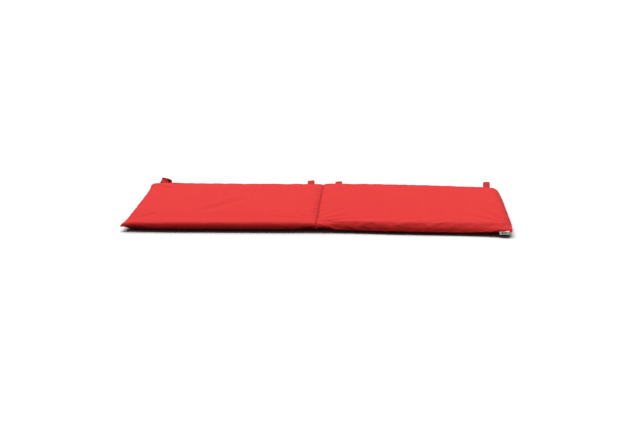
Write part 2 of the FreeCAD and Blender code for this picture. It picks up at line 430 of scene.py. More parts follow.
def weave_group() -> bpy.types.NodeTree:
    """Makes the plain weave that the cloth pieces share.

    Returns:
        A group that turns cloth coordinates into thread height, a thread's own shade and the gaps.
    """
    tree, g, given, result = make_group(
        "plain_weave",
        {"Vector": None, "Pitch": 0.9 * MM, "Slub": 0.25},
        {"Height": "NodeSocketFloat", "Shade": "NodeSocketFloat", "Gap": "NodeSocketFloat"},
    )
    apart = g.node("SeparateXYZ")
    g.feed(apart.inputs[0], given["Vector"])
    wander = g.math("MULTIPLY", g.math("SUBTRACT", g.noise(given["Vector"], 260.0, 1.0), 0.5), 0.9)
    threads = [g.math("DIVIDE", apart.outputs[k], given["Pitch"]) for k in (0, 1)]
    u, v = (g.math("ADD", count, wander) for count in threads)
    cells = [g.math("FLOOR", w) for w in (u, v)]
    over = g.math("FLOORED_MODULO", g.math("ADD", *cells), 2.0)
    across = [g.math("ABSOLUTE", g.math("SINE", g.math("MULTIPLY", w, math.pi))) for w in (u, v)]
    # the thread on top is rounded across its own width and dips at both ends of its float
    crowns = []
    for own_way, other_way in (across, across[::-1]):
        dip = g.math("ADD", 0.55, g.math("MULTIPLY", other_way, 0.45))
        crowns.append(g.math("MULTIPLY", g.math("POWER", own_way, 0.55), dip))
    pick = g.math("MULTIPLY", crowns[0], over)
    end = g.math("MULTIPLY", crowns[1], g.math("SUBTRACT", 1.0, over))
    height = g.math("ADD", pick, end)
    thread = g.node("CombineXYZ")
    g.feed(thread.inputs[0], g.math("MULTIPLY", cells[0], over))
    g.feed(thread.inputs[1], g.math("MULTIPLY", cells[1], g.math("SUBTRACT", 1.0, over)))
    own = g.node("TexWhiteNoise", noise_dimensions="2D")
    g.feed(own.inputs["Vector"], thread.outputs[0])
    slub = g.math("MULTIPLY", g.math("SUBTRACT", own.outputs["Value"], 0.5), given["Slub"])
    g.feed(result["Height"], g.math("ADD", height, slub))
    g.feed(result["Shade"], g.math("ADD", 0.5, slub))
    g.feed(result["Gap"], g.math("SUBTRACT", 1.0, height, clamp=True))
    return tree


def mottle_group() -> bpy.types.NodeTree:
    """Makes the slow and fine unevenness of dye, dust and handling that all finishes share.

    Returns:
        A group that turns a place into a broad shade, a fine shade and sparse specks.
    """
    tree, g, given, result = make_group(
        "dye_and_dust",
        {"Vector": None, "Broad": 7.0, "Fine": 90.0},
        {"Broad": "NodeSocketFloat", "Fine": "NodeSocketFloat", "Specks": "NodeSocketFloat"},
    )
    g.feed(result["Broad"], g.noise(given["Vector"], given["Broad"], 3.0, 0.55))
    g.feed(result["Fine"], g.noise(given["Vector"], given["Fine"], 4.0, 0.6))
    lint = g.noise(given["Vector"], g.math("MULTIPLY", given["Fine"], 9.0), 1.0)
    g.feed(result["Specks"], g.spread(lint, 0.74, 0.8, 0.0, 1.0))
    return tree


class Effects:
    """The node groups that several finishes place, built once."""

    def __init__(self) -> None:
        """Builds both groups."""
        self.weave = weave_group()
        self.mottle = mottle_group()

    @staticmethod
    def place(
        graph: Graph, group: bpy.types.NodeTree, vector: object, **values: float
    ) -> bpy.types.Node:
        """Places a group in a material.

        Args:
            graph: The material's graph.
            group: The node group.
            vector: What feeds its Vector input.
            **values: Numbers for its other inputs.

        Returns:
            The group's node.
        """
        made = graph.node("Group")
        made.node_tree = group
        graph.feed(made.inputs["Vector"], vector)
        for name, value in values.items():
            made.inputs[name].default_value = value
        return made


Colour = tuple[float, float, float]


def opaque(colour: Colour, shade: float = 1.0) -> tuple[float, float, float, float]:
    """A colour times a shade, with full alpha."""
    return (colour[0] * shade, colour[1] * shade, colour[2] * shade, 1.0)


@dataclass(frozen=True)
class Finish:
    """What every finish has: a name and a colour."""

    name: str
    colour: Colour

    def start(self) -> tuple[bpy.types.Material, Graph, bpy.types.Node]:
        """Makes the material with a lone shader.

        Returns:
            The material, its graph and its shader node.
        """
        material = bpy.data.materials.new(self.name)
        material.use_nodes = True
        shader = material.node_tree.nodes["Principled BSDF"]
        return material, Graph(material.node_tree), shader


@dataclass(frozen=True)
class ClothFinish(Finish):
    """Woven cloth: cover fabric, webbing, tape or ribbon."""

    pitch: float = 0.58 * MM
    relief: float = 0.07 * MM
    roughness: float = 0.78
    sheen: float = 0.06
    stretch: tuple[float, float] = (1.0, 1.0)
    worn: float = 0.1
    # how strongly the painted seam shadow darkens the cloth
    shaded: float = 0.95
    broad: float = 0.08
    thread_shades: tuple[float, float] = (0.92, 1.06)
    gap_shadow_share: float = 0.32
    gap_shadow: float = 0.5
    broad_shade: float = 0.7
    lint: Colour = (0.8, 0.76, 0.74)
    lint_share: float = 0.06
    seam_shadow_tint: Colour = (0.6, 0.03, 0.03)
    seam_shadow_span: tuple[float, float] = (0.86, 0.97)

    def build(self, effects: Effects) -> bpy.types.Material:
        """Makes the material.

        Args:
            effects: The shared node groups.

        Returns:
            The material, which reads the piece's cloth map and its seam attribute.
        """
        material, g, shader = self.start()
        chart = g.node("UVMap", uv_map="cloth")
        flat = g.scaled(chart.outputs[0], (self.stretch[0], self.stretch[1], 1.0))
        weave = effects.place(g, effects.weave, flat, Pitch=self.pitch)
        mottle = effects.place(g, effects.mottle, g.place())
        seam = g.node("Attribute", attribute_name="seam")
        thread = g.spread(weave.outputs["Shade"], 0.38, 0.62, 0.0, 1.0)
        dark, light = (opaque(self.colour, shade) for shade in self.thread_shades)
        # painted shade: the gaps between the threads are darkened, standing in for the shadow down
        # between them
        gap = g.math("MULTIPLY", weave.outputs["Gap"], self.gap_shadow_share)
        colour = g.mix(gap, g.mix(thread, dark, light), opaque(self.colour, self.gap_shadow))
        broad = g.spread(mottle.outputs["Broad"], 0.3, 0.7, 0.0, 1.0)
        broad = g.math("MULTIPLY", broad, self.broad)
        colour = g.mix(broad, colour, opaque(self.colour, self.broad_shade))
        pale = tuple(0.55 * c + 0.28 for c in self.colour)
        wear = g.spread(mottle.outputs["Fine"], 0.45, 0.7, 0.0, self.worn)
        rubbed = g.math("MULTIPLY", seam.outputs["Fac"], wear)
        colour = g.mix(rubbed, colour, opaque(pale))
        specks = g.math("MULTIPLY", mottle.outputs["Specks"], self.lint_share)
        colour = g.mix(specks, colour, opaque(self.lint))
        # painted shadow: near the seams the cloth is darkened toward a deep red, standing in for
        # the shade in the fold groove and under the rolled edges; the pale rubbing before it is
        # wear
        deep = tuple(share * c for share, c in zip(self.seam_shadow_tint, self.colour))
        shadow = g.spread(seam.outputs["Fac"], *self.seam_shadow_span, 0.0, self.shaded)
        colour = g.mix(shadow, colour, opaque(deep))
        rough = g.math("ADD", self.roughness, g.math("MULTIPLY", mottle.outputs["Fine"], 0.12))
        rough = g.math("ADD", rough, g.math("MULTIPLY", rubbed, 0.2), clamp=True)
        fuzz = g.math("MULTIPLY", mottle.outputs["Fine"], 0.35)
        height = g.math("ADD", weave.outputs["Height"], fuzz)
        looks = {"Base Color": colour, "Roughness": rough, "Normal": g.bump(height, self.relief)}
        g.fill(shader, looks)
        g.fill(shader, {"Sheen Weight": self.sheen, "Sheen Roughness": 0.5})
        g.fill(shader, {"Specular IOR Level": 0.18})
        return material


@dataclass(frozen=True)
class ThreadFinish(Finish):
    """Sewing thread: two plies that wind round each other."""

    turn: float = 0.9 * MM
    relief: float = 0.08 * MM

    def build(self, effects: Effects) -> bpy.types.Material:
        """Makes the material."""
        material, g, shader = self.start()
        place = g.place()
        mottle = effects.place(g, effects.mottle, place, Fine=700.0)
        apart = g.node("SeparateXYZ")
        g.feed(apart.inputs[0], place)
        run = g.math("ADD", g.math("ADD", apart.outputs[0], apart.outputs[1]), apart.outputs[2])
        ply = g.math("ABSOLUTE", g.math("SINE", g.math("MULTIPLY", run, math.pi / self.turn)))
        # painted shade: the groove between the plies is darker, standing in for the shadow in it
        colour = g.mix(ply, opaque(self.colour, 0.6), opaque(self.colour, 1.1))
        rough = g.spread(mottle.outputs["Fine"], 0.3, 0.7, 0.45, 0.7)
        looks = {"Base Color": colour, "Roughness": rough, "Normal": g.bump(ply, self.relief)}
        g.fill(shader, looks | {"Specular IOR Level": 0.25})
        return material


@dataclass(frozen=True)
class MouldedFinish(Finish):
    """Nylon coil or lacquered zinc, with fine orange peel and rubbed high spots."""

    roughness: float = 0.4
    peel: float = 0.02 * MM
    metal: float = 0.0
    rubbed: Colour = (0.6, 0.58, 0.56)
    rub: float = 0.0

    def build(self, effects: Effects) -> bpy.types.Material:
        """Makes the material."""
        material, g, shader = self.start()
        mottle = effects.place(g, effects.mottle, g.place(), Broad=120.0, Fine=900.0)
        worn = g.spread(mottle.outputs["Broad"], 0.56, 0.66, 0.0, self.rub)
        shade = g.mix(mottle.outputs["Fine"], opaque(self.colour, 0.85), opaque(self.colour, 1.12))
        colour = g.mix(worn, shade, opaque(self.rubbed))
        dullest = self.roughness + 0.18
        rough = g.spread(mottle.outputs["Fine"], 0.3, 0.7, self.roughness, dullest)
        normal = g.bump(mottle.outputs["Fine"], self.peel)
        g.fill(shader, {"Base Color": colour, "Roughness": rough, "Normal": normal})
        g.fill(shader, {"Metallic": g.math("MULTIPLY", worn, self.metal)})
        return material


@dataclass(frozen=True)
class FillingFinish(Finish):
    """Foam or fibre wadding: open pores or tangled fibres."""

    cell: float = 1.2 * MM
    depth: float = 0.5 * MM
    stringy: float = 1.0

    def build(self, effects: Effects) -> bpy.types.Material:
        """Makes the material."""
        material, g, shader = self.start()
        drawn = g.scaled(g.place(), (1.0, 1.0 / self.stringy, 1.0))
        mottle = effects.place(g, effects.mottle, drawn, Fine=0.4 / self.cell)
        cells = g.node("TexVoronoi", feature="DISTANCE_TO_EDGE")
        g.feed(cells.inputs["Vector"], drawn)
        cells.inputs["Scale"].default_value = 1.0 / self.cell
        wall = g.spread(cells.outputs["Distance"], 0.0, 0.25, 1.0, 0.0)
        # painted shade: the insides of the pores, and the gaps between fibres, are darker than the
        # walls, standing in for the shadow in them
        colour = g.mix(wall, opaque(self.colour, 0.72), opaque(self.colour))
        broad = g.spread(mottle.outputs["Broad"], 0.35, 0.7, 0.0, 0.3)
        colour = g.mix(broad, colour, opaque(self.colour, 0.82))
        rough = g.spread(mottle.outputs["Fine"], 0.3, 0.7, 0.85, 1.0)
        normal = g.bump(g.math("ADD", wall, mottle.outputs["Fine"]), self.depth)
        looks = {"Base Color": colour, "Roughness": rough, "Normal": normal}
        g.fill(shader, looks | {"Subsurface Weight": 0.1})
        return material


@dataclass(frozen=True)
class FloorFinish(Finish):
    """A plain pale floor that throws only part of its light back at what stands on it."""

    thrown: float = 0.12

    def build(self, effects: Effects) -> bpy.types.Material:
        """Makes the material."""
        material, g, shader = self.start()
        mottle = effects.place(g, effects.mottle, g.place(), Broad=1.5)
        seen = g.mix(mottle.outputs["Broad"], opaque(self.colour), opaque(self.colour, 0.985))
        path = g.node("LightPath")
        lit = g.mix(path.outputs["Is Camera Ray"], opaque(self.colour, self.thrown), seen)
        g.fill(shader, {"Base Color": lit, "Roughness": 0.9, "Specular IOR Level": 0.1})
        return material


RED: Colour = (0.78, 0.022, 0.02)


class Wardrobe:
    """Every finish in the scene, built once and named by what it covers."""

    def __init__(self) -> None:
        """Builds the finishes."""
        effects = Effects()
        made = [
            ClothFinish("cover_fabric", RED),
            ClothFinish(
                "strap_webbing",
                (0.62, 0.022, 0.02),
                pitch=0.85 * MM,
                relief=0.16 * MM,
                stretch=(1.0, 0.55),
                broad=0.2,
            ),
            ClothFinish(
                "zip_tape", (0.42, 0.02, 0.02), pitch=0.6 * MM, relief=0.08 * MM, sheen=0.1
            ),
            ClothFinish(
                "label",
                (0.86, 0.86, 0.84),
                pitch=0.35 * MM,
                relief=0.05 * MM,
                sheen=0.5,
                roughness=0.5,
            ),
            ClothFinish(
                "label_mark", (0.03, 0.03, 0.035), pitch=0.35 * MM, relief=0.05 * MM, roughness=0.6
            ),
            # the thread is a darker red than the cover; part of that darkening is painted shade for
            # stitches sunk in the seams
            ThreadFinish("thread", (0.46, 0.016, 0.014)),
            MouldedFinish("zip_coil", (0.4, 0.02, 0.02), roughness=0.32),
            MouldedFinish("zip_metal", (0.33, 0.018, 0.018), roughness=0.28, metal=1.0, rub=0.12),
            FillingFinish("foam", (0.86, 0.78, 0.52)),
            FillingFinish(
                "wadding", (0.86, 0.86, 0.84), cell=0.8 * MM, depth=0.9 * MM, stringy=6.0
            ),
            FloorFinish("floor", (0.93, 0.93, 0.93)),
        ]
        self.materials = {finish.name: finish.build(effects) for finish in made}

    def dress(self, piece: bpy.types.Object, name: str) -> bpy.types.Object:
        """Gives a piece one finish.

        Args:
            piece: The piece.
            name: The finish's name.

        Returns:
            The same piece.
        """
        piece.data.materials.clear()
        piece.data.materials.append(self.materials[name])
        return piece

    def dress_node(self, name: str, finish: str) -> bpy.types.Object:
        """Gives a carried-over CAD node a finish on its object's own slots.

        Args:
            name: The node's name.
            finish: The finish's name.

        Returns:
            The node's object.
        """
        node = NODES[name]
        for slot in node.material_slots:
            slot.link = "OBJECT"
            slot.material = self.materials[finish]
        return node


def set_chart(piece: bpy.types.Object, chart: np.ndarray) -> None:
    """Gives a piece its cloth map.

    Args:
        piece: The piece.
        chart: Where each vertex lies on the flat cloth, in metres.
    """
    mesh = piece.data
    layer = mesh.uv_layers.new(name="cloth")
    corners = np.empty(len(mesh.loops), dtype=np.int32)
    mesh.loops.foreach_get("vertex_index", corners)
    layer.data.foreach_set("uv", np.asarray(chart, float)[corners].ravel())


def set_seam(piece: bpy.types.Object, values: np.ndarray) -> None:
    """Stores how near each vertex is to a seam, from 0 to 1, for the finishes to read: the cloth
    finish rubs the cloth pale by it and paints shade by it.
    """
    attribute = piece.data.attributes.new("seam", "FLOAT", "POINT")
    attribute.data.foreach_set("value", np.asarray(values, float))


# ---------------------------------------------------------------- the padded cover


# where grid lines cross a rounded edge, as shares of the way from the seam to the flat
EDGE_LINES = np.array([0.0, 0.02, 0.07, 0.14, 0.22, 0.31, 0.41, 0.52, 0.64, 0.76, 0.88])


@dataclass(frozen=True)
class Stations:
    """The grid lines of a panel between two of its edges."""

    low: np.ndarray
    high: np.ndarray
    run: np.ndarray

    @classmethod
    def across(cls, length: float, pitch: float) -> "Stations":
        """Spaces lines over the rounded edges and the flat between them.

        Args:
            length: The distance between the two edges.
            pitch: The spacing on the flat.

        Returns:
            The stations from the low edge to the high edge.
        """
        middle = np.linspace(0.0, 1.0, int(length / pitch))
        ones, full = np.ones(len(EDGE_LINES)), np.ones(len(middle))
        return cls(
            np.concatenate([EDGE_LINES, full, ones]),
            np.concatenate([ones, full, EDGE_LINES[::-1]]),
            np.concatenate([0 * ones, middle, ones]),
        )


class Roll(Enum):
    """How an edge of a panel rounds over from the seam to the flat.

    Each is a curve's two handles, as shares of the edge's width and then of the panel's height.
    """

    FULL = (0.10, 0.30, 0.75, 1.00)
    ROUND = (0.04, 0.42, 0.58, 1.00)
    SOFT = (0.12, 0.45, 0.52, 1.00)
    KNIFE = (0.27, 0.60, 0.46, 0.95)
    UNDER = (0.40, 0.12, 0.62, 1.00)

    @staticmethod
    def curve(t: np.ndarray, near: float, far: float) -> np.ndarray:
        """A smooth curve from 0 to 1 with two handles."""
        return 3 * (1 - t) ** 2 * t * near + 3 * (1 - t) * t**2 * far + t**3

    def inset(self, t: np.ndarray) -> np.ndarray:
        """How far in from the seam the edge has come, as a share of its width."""
        return self.curve(t, *self.value[:2])

    def rise(self, t: np.ndarray) -> np.ndarray:
        """How far the edge has risen from the seam, as a share of the panel's height."""
        return self.curve(t, *self.value[2:])


@dataclass(frozen=True)
class Crease:
    """A soft fold in a panel: a valley with a ridge beside it."""

    start: tuple[float, float]
    end: tuple[float, float]
    width: float = 9 * MM
    depth: float = 1.6 * MM
    bow: float = 0.0

    def rise(self, u: np.ndarray, v: np.ndarray) -> np.ndarray:
        """Works out how far the crease lifts each point.

        Args:
            u: Distances from the fold line.
            v: Distances from the front seam.

        Returns:
            The lift, below zero in the valley.
        """
        along = np.array(self.end) - np.array(self.start)
        length = float(np.hypot(*along))
        along = along / length
        du, dv = u - self.start[0], v - self.start[1]
        s = (du * along[0] + dv * along[1]) / length
        off = du * along[1] - dv * along[0] + self.bow * 4 * s * (1 - s)
        q = off / self.width
        ridges = 0.75 * np.exp(-((q - 1.5) ** 2)) + 0.35 * np.exp(-((q + 1.6) ** 2))
        taper = smoothstep(s / 0.3 + 0.15) * smoothstep((1 - s) / 0.45 + 0.1)
        return self.depth * (ridges - np.exp(-(q**2))) * taper * (s > -0.1) * (s < 1.1)


@dataclass
class Sheet:
    """A grid of points on the cloth, with its cloth map and its nearness to a seam."""

    points: np.ndarray
    chart: np.ndarray
    seam: np.ndarray


@dataclass
class CoverHalf:
    """One half of the cover: a top and a bottom panel, sewn at mid height to a sharp edge.

    Heights are given on a three by three grid: fold line, middle and outer edge, each at the
    front, the middle and the back. Roundness says for each corner, by whether it is at the outer
    edge and at the back, its radius and how round it is.
    """

    side: Side
    heights: tuple
    roundness: dict
    creases: tuple
    front_roll: tuple[float, float]
    underside_roll: tuple[float, float]
    seed: int
    pitch: float = 5.5 * MM
    fold_gap: float = 2.5 * MM
    fold_roll: float = 14 * MM
    fold_lift: float = 13 * MM
    outer_roll: float = 27 * MM
    back_roll: float = 24 * MM
    outer_pull: float = 5 * MM
    front_pull: float = 4 * MM
    fold_pull: float = 20 * MM
    fold_pull_power: float = 1.0
    outer_draw: float = 0.0
    droop: float = 6 * MM
    droop_end: float = 0.0
    filling_back: float = 7 * MM
    pinches: tuple = ()
    ears: tuple = ()
    seam_curl: float = 0.9 * MM
    curl_share: float = 0.02
    squeezed_over: float = 40 * MM
    pucker: float = 0.9 * MM
    fold_edge: Roll = Roll.FULL
    outer_edge: Roll = Roll.SOFT
    front_edge: Roll = Roll.ROUND
    underside_edge: Roll = Roll.KNIFE
    back_edge: Roll = Roll.FULL
    zip_half_window: float = 4.9 * MM
    zip_half_length: float = 0.2
    zip_margin: float = 11 * MM
    zip_fade: float = 9 * MM
    fold_lift_front: float = 0.45
    fold_lift_reach: float = 250 * MM
    low: Vector = field(init=False)
    high: Vector = field(init=False)

    def __post_init__(self) -> None:
        """Reads the half's place from the frame."""
        self.low, self.high = (Vector(corner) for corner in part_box(self.side.word + "_top_panel"))
        self.mid = self.low.z
        self.depth = self.high.y - self.low.y
        self.length = max(abs(self.low.x), abs(self.high.x)) - self.fold_gap
        self.noise = SmoothNoise(self.seed)

    def crown(self, u: np.ndarray, v: np.ndarray) -> np.ndarray:
        """How high the top panel stands over mid height, from the three by three grid."""
        a, b = np.clip(u / self.length, 0, 1), np.clip(v / self.depth, 0, 1)
        across = [(1 - a) * (1 - 2 * a), 4 * a * (1 - a), a * (2 * a - 1)]
        along = [(1 - b) * (1 - 2 * b), 4 * b * (1 - b), b * (2 * b - 1)]
        total = 0.0
        for i in range(3):
            for j in range(3):
                total = total + across[i] * along[j] * self.heights[i][j] * MM
        return total + 0.5 * MM * self.noise.at(u, v, 0.13) + 0.15 * MM * self.noise.at(u, v, 0.05)

    def window(self, u: np.ndarray) -> np.ndarray:
        """How far the zip opens the back seam, from 0 to 1."""
        off = np.abs(u - (self.length + self.fold_gap) / 2)
        return smoothstep((self.zip_half_length + self.zip_margin - off) / self.zip_fade)

    def front_line(self, share: np.ndarray) -> np.ndarray:
        """How far the front seam is drawn in, at shares of the length from the fold line."""
        bow = 1 - np.abs(2 * share - 1) ** 4
        ripple = 0.5 * MM * self.noise.at(share * self.length, 0.31, 0.06) * bow
        drawn = self.fold_pull * (1 - share) ** self.fold_pull_power
        drawn = drawn + self.outer_draw * smoothstep(share * 1.4 - 0.4)
        return self.front_pull * bow + ripple + drawn

    def front_droop(self, share: np.ndarray) -> np.ndarray:
        """How far the front seam hangs under mid height, at shares of the length."""
        outward = self.droop_end + (1 - self.droop_end) * smoothstep((1 - share) / 0.2)
        return self.droop * (0.3 + 0.7 * smoothstep(share / 0.1)) * outward

    def fold_line(self, v: np.ndarray) -> np.ndarray:
        """How far the seam at the fold is drawn up over mid height, at distances from the front."""
        gain = (1 - self.fold_lift_front) * smoothstep(v / self.fold_lift_reach)
        return self.fold_lift * (self.fold_lift_front + gain)

    def pinch(self, u: np.ndarray, v: np.ndarray) -> np.ndarray:
        """What is left of the panel's height near the corners that the sewing pinches flat."""
        left = 1.0
        for outer, back, reach, amount in self.pinches:
            du, dv = (self.length - u) if outer else u, (self.depth - v) if back else v
            left = left * (1 - amount * np.exp(-((du**2 + dv**2) / reach**2)))
        return left

    def pull_ears(self, u: np.ndarray, v: np.ndarray) -> tuple[np.ndarray, np.ndarray]:
        """Draws the outer corners out to points."""
        for back, reach, length in self.ears:
            du, dv = self.length - u, (self.depth - v) if back else v
            away = np.sqrt(np.maximum(du, 0) ** 2 + np.maximum(dv, 0) ** 2)
            near = length * np.exp(-(away / reach))
            u, v = u + near, v + near * (0.6 if back else -0.6)
        return u, v

    def round_corners(self, u: np.ndarray, v: np.ndarray) -> tuple[np.ndarray, np.ndarray]:
        """Rounds the outline's corners as seen from above.

        Args:
            u: Distances from the fold line.
            v: Distances from the front seam.

        Returns:
            The two distances, changed near the corners.
        """
        for (outer, back), (radius, amount) in self.roundness.items():
            p = (u - (self.length - radius)) / radius if outer else (radius - u) / radius
            q = (v - (self.depth - radius)) / radius if back else (radius - v) / radius
            p, q = np.clip(p, 0, 1), np.clip(q, 0, 1)
            du = p * (np.sqrt(1 - amount * q**2 / 2) - 1) * radius
            dv = q * (np.sqrt(1 - amount * p**2 / 2) - 1) * radius
            u = u + (du if outer else -du)
            v = v + (dv if back else -dv)
        return u, v

    def surface(
        self, face: Face, inset: float = 0.0, fold_space: float = 0.0, pitch: float = 0.0
    ) -> Sheet:
        """Lays out one panel, or the skin of the filling at some depth under it.

        Args:
            face: Which panel.
            inset: How deep under the cover the surface lies.
            fold_space: How much more the surface keeps from the fold line.
            pitch: The grid's spacing, or 0 for the cover's own.

        Returns:
            The panel's points, cloth map and seam nearness.
        """
        pitch = pitch or self.pitch
        cols = Stations.across(self.length - self.fold_roll - self.outer_roll, pitch)
        rows = Stations.across(self.depth - self.back_roll - self.front_roll[0], pitch)
        nominal_u = cols.run * self.length
        nominal_v = rows.run * self.depth
        top = face is Face.TOP
        share = nominal_u / self.length
        ends = self.front_roll if top else self.underside_roll
        front_edge = self.front_edge if top else self.underside_edge
        front_roll = ends[0] + (ends[1] - ends[0]) * share
        front = self.front_line(share)
        tall = nominal_v / self.depth
        ripple = 0.5 * MM * self.noise.at(nominal_v, 0.7, 0.05)
        outer = self.outer_pull * (1 - np.abs(2 * tall - 1) ** 6) + ripple
        fold_edge = self.fold_edge if top else Roll.UNDER
        low_i = fold_edge.inset(cols.low)[:, None]
        high_i = self.outer_edge.inset(cols.high)[:, None]
        low_j = front_edge.inset(rows.low)[None]
        high_j = self.back_edge.inset(rows.high)[None]
        squeeze = 1.0 - inset / self.squeezed_over
        fold_roll, outer_roll = self.fold_roll * squeeze, self.outer_roll * squeeze
        back_roll, front_roll = self.back_roll * squeeze, (front_roll * squeeze)[:, None]
        u0, u1 = inset + fold_space, (self.length - outer - inset)[None]
        flat_u = u1 - u0 - fold_roll - outer_roll
        u = u0 + fold_roll * low_i + cols.run[:, None] * flat_u + outer_roll * (1 - high_i)
        v0 = (front + inset + (self.filling_back if inset else 0.0))[:, None]
        flat_v = self.depth - inset - v0 - front_roll - back_roll
        v = v0 + front_roll * low_j + rows.run[None] * flat_v + back_roll * (1 - high_j)
        if not inset:
            u = u + self.curl_at(cols)[:, None]
            v = v + self.curl_at(rows)[None]
            near_zip = (1 - smoothstep((rows.high - 0.15) / 0.4))[None]
            v = v + self.window(u) * back_roll * high_j * near_zip
        u, v = self.pull_ears(*self.round_corners(u, v))
        gu = (fold_edge.rise(cols.low) * self.outer_edge.rise(cols.high))[:, None]
        from_front, from_back = front_edge.rise(rows.low), self.back_edge.rise(rows.high)
        gv = (from_front * from_back)[None]
        height = (self.crown(u, v) if top else self.mid + 0 * u) - inset
        rise = height * gu * gv * self.pinch(u, v)
        if not inset:
            slot = self.zip_half_window * self.window(u) * (1 - from_back)[None]
            rise = rise + slot
        if top and not inset:
            creased = sum(crease.rise(u, v) for crease in self.creases)
            rise = rise + creased * smoothstep(gu * gv * 1.4 - 0.3)
        seam = np.maximum(1 - gu, 1 - gv)
        if not inset:
            rise = rise + self.puckers(u, v, cols, rows) * (1.0 if top else 0.4)
        at_fold = (1 - fold_edge.rise(cols.low))[:, None]
        sewn = at_fold * (self.fold_line(nominal_v) * from_front)[None]
        sewn = sewn - self.front_droop(share)[:, None] * (1 - from_front)[None]
        z = self.mid + sewn + face.value * rise
        x = self.side.value * (self.fold_gap + u)
        points = np.stack([x, self.low.y + v, np.maximum(z, 0.0)], axis=-1)
        return Sheet(points, self.chart(points), np.clip(seam, 0, 1) ** 2)

    def curl_at(self, lines: Stations) -> np.ndarray:
        """How far the cloth curls in over the seams at the ends of a run of grid lines."""
        ends = [np.exp(-share / self.curl_share) for share in (lines.low, lines.high)]
        return self.seam_curl * (ends[0] - ends[1])

    def puckers(self, u: np.ndarray, v: np.ndarray, cols: Stations, rows: Stations) -> np.ndarray:
        """The small gathers that the sewing draws into the cloth beside each seam.

        Args:
            u: Distances from the fold line.
            v: Distances from the front seam.
            cols: The stations from the fold line out.
            rows: The stations from the front to the back.

        Returns:
            The lift at each point.
        """
        total = np.zeros_like(u)
        edges = (
            (cols.low[:, None], v, 0.5, 16.0),
            (cols.high[:, None], v, 0.8, 13.0),
            (rows.low[None], u, 0.35, 14.0),
            (rows.high[None], u, 0.3, 14.0),
        )
        for k, (t, along, strength, wave) in enumerate(edges):
            near = 4.0 * t * np.exp(-4.5 * t) * 1.6
            fine = self.noise.at(along, 3.0 + k, wave * MM)
            slow = self.noise.at(along, 5.0 + k, wave * 2.7 * MM)
            total = total + self.pucker * strength * near * (fine + 0.5 * slow) * (t < 1)
        return total

    @staticmethod
    def chart(points: np.ndarray) -> np.ndarray:
        """Lays a grid of points flat.

        Args:
            points: The grid's points.

        Returns:
            The distance along the grid's middle lines, each way.
        """
        middle_row = points[:, points.shape[1] // 2]
        middle_column = points[points.shape[0] // 2]
        runs = []
        for line in (middle_row, middle_column):
            steps = np.linalg.norm(np.diff(line, axis=0), axis=1)
            runs.append(np.concatenate([[0.0], np.cumsum(steps)]))
        grid = np.meshgrid(*runs, indexing="ij")
        return np.stack(grid, axis=-1)

    def panel_faces(self, shape: tuple, face: Face) -> list:
        """The quads of a panel's grid, wound so that they face out."""
        quads = grid_faces(shape[0], shape[1])
        outward = (self.side is Side.RIGHT) == (face is Face.TOP)
        return [quad[::-1] for quad in quads] if outward else quads


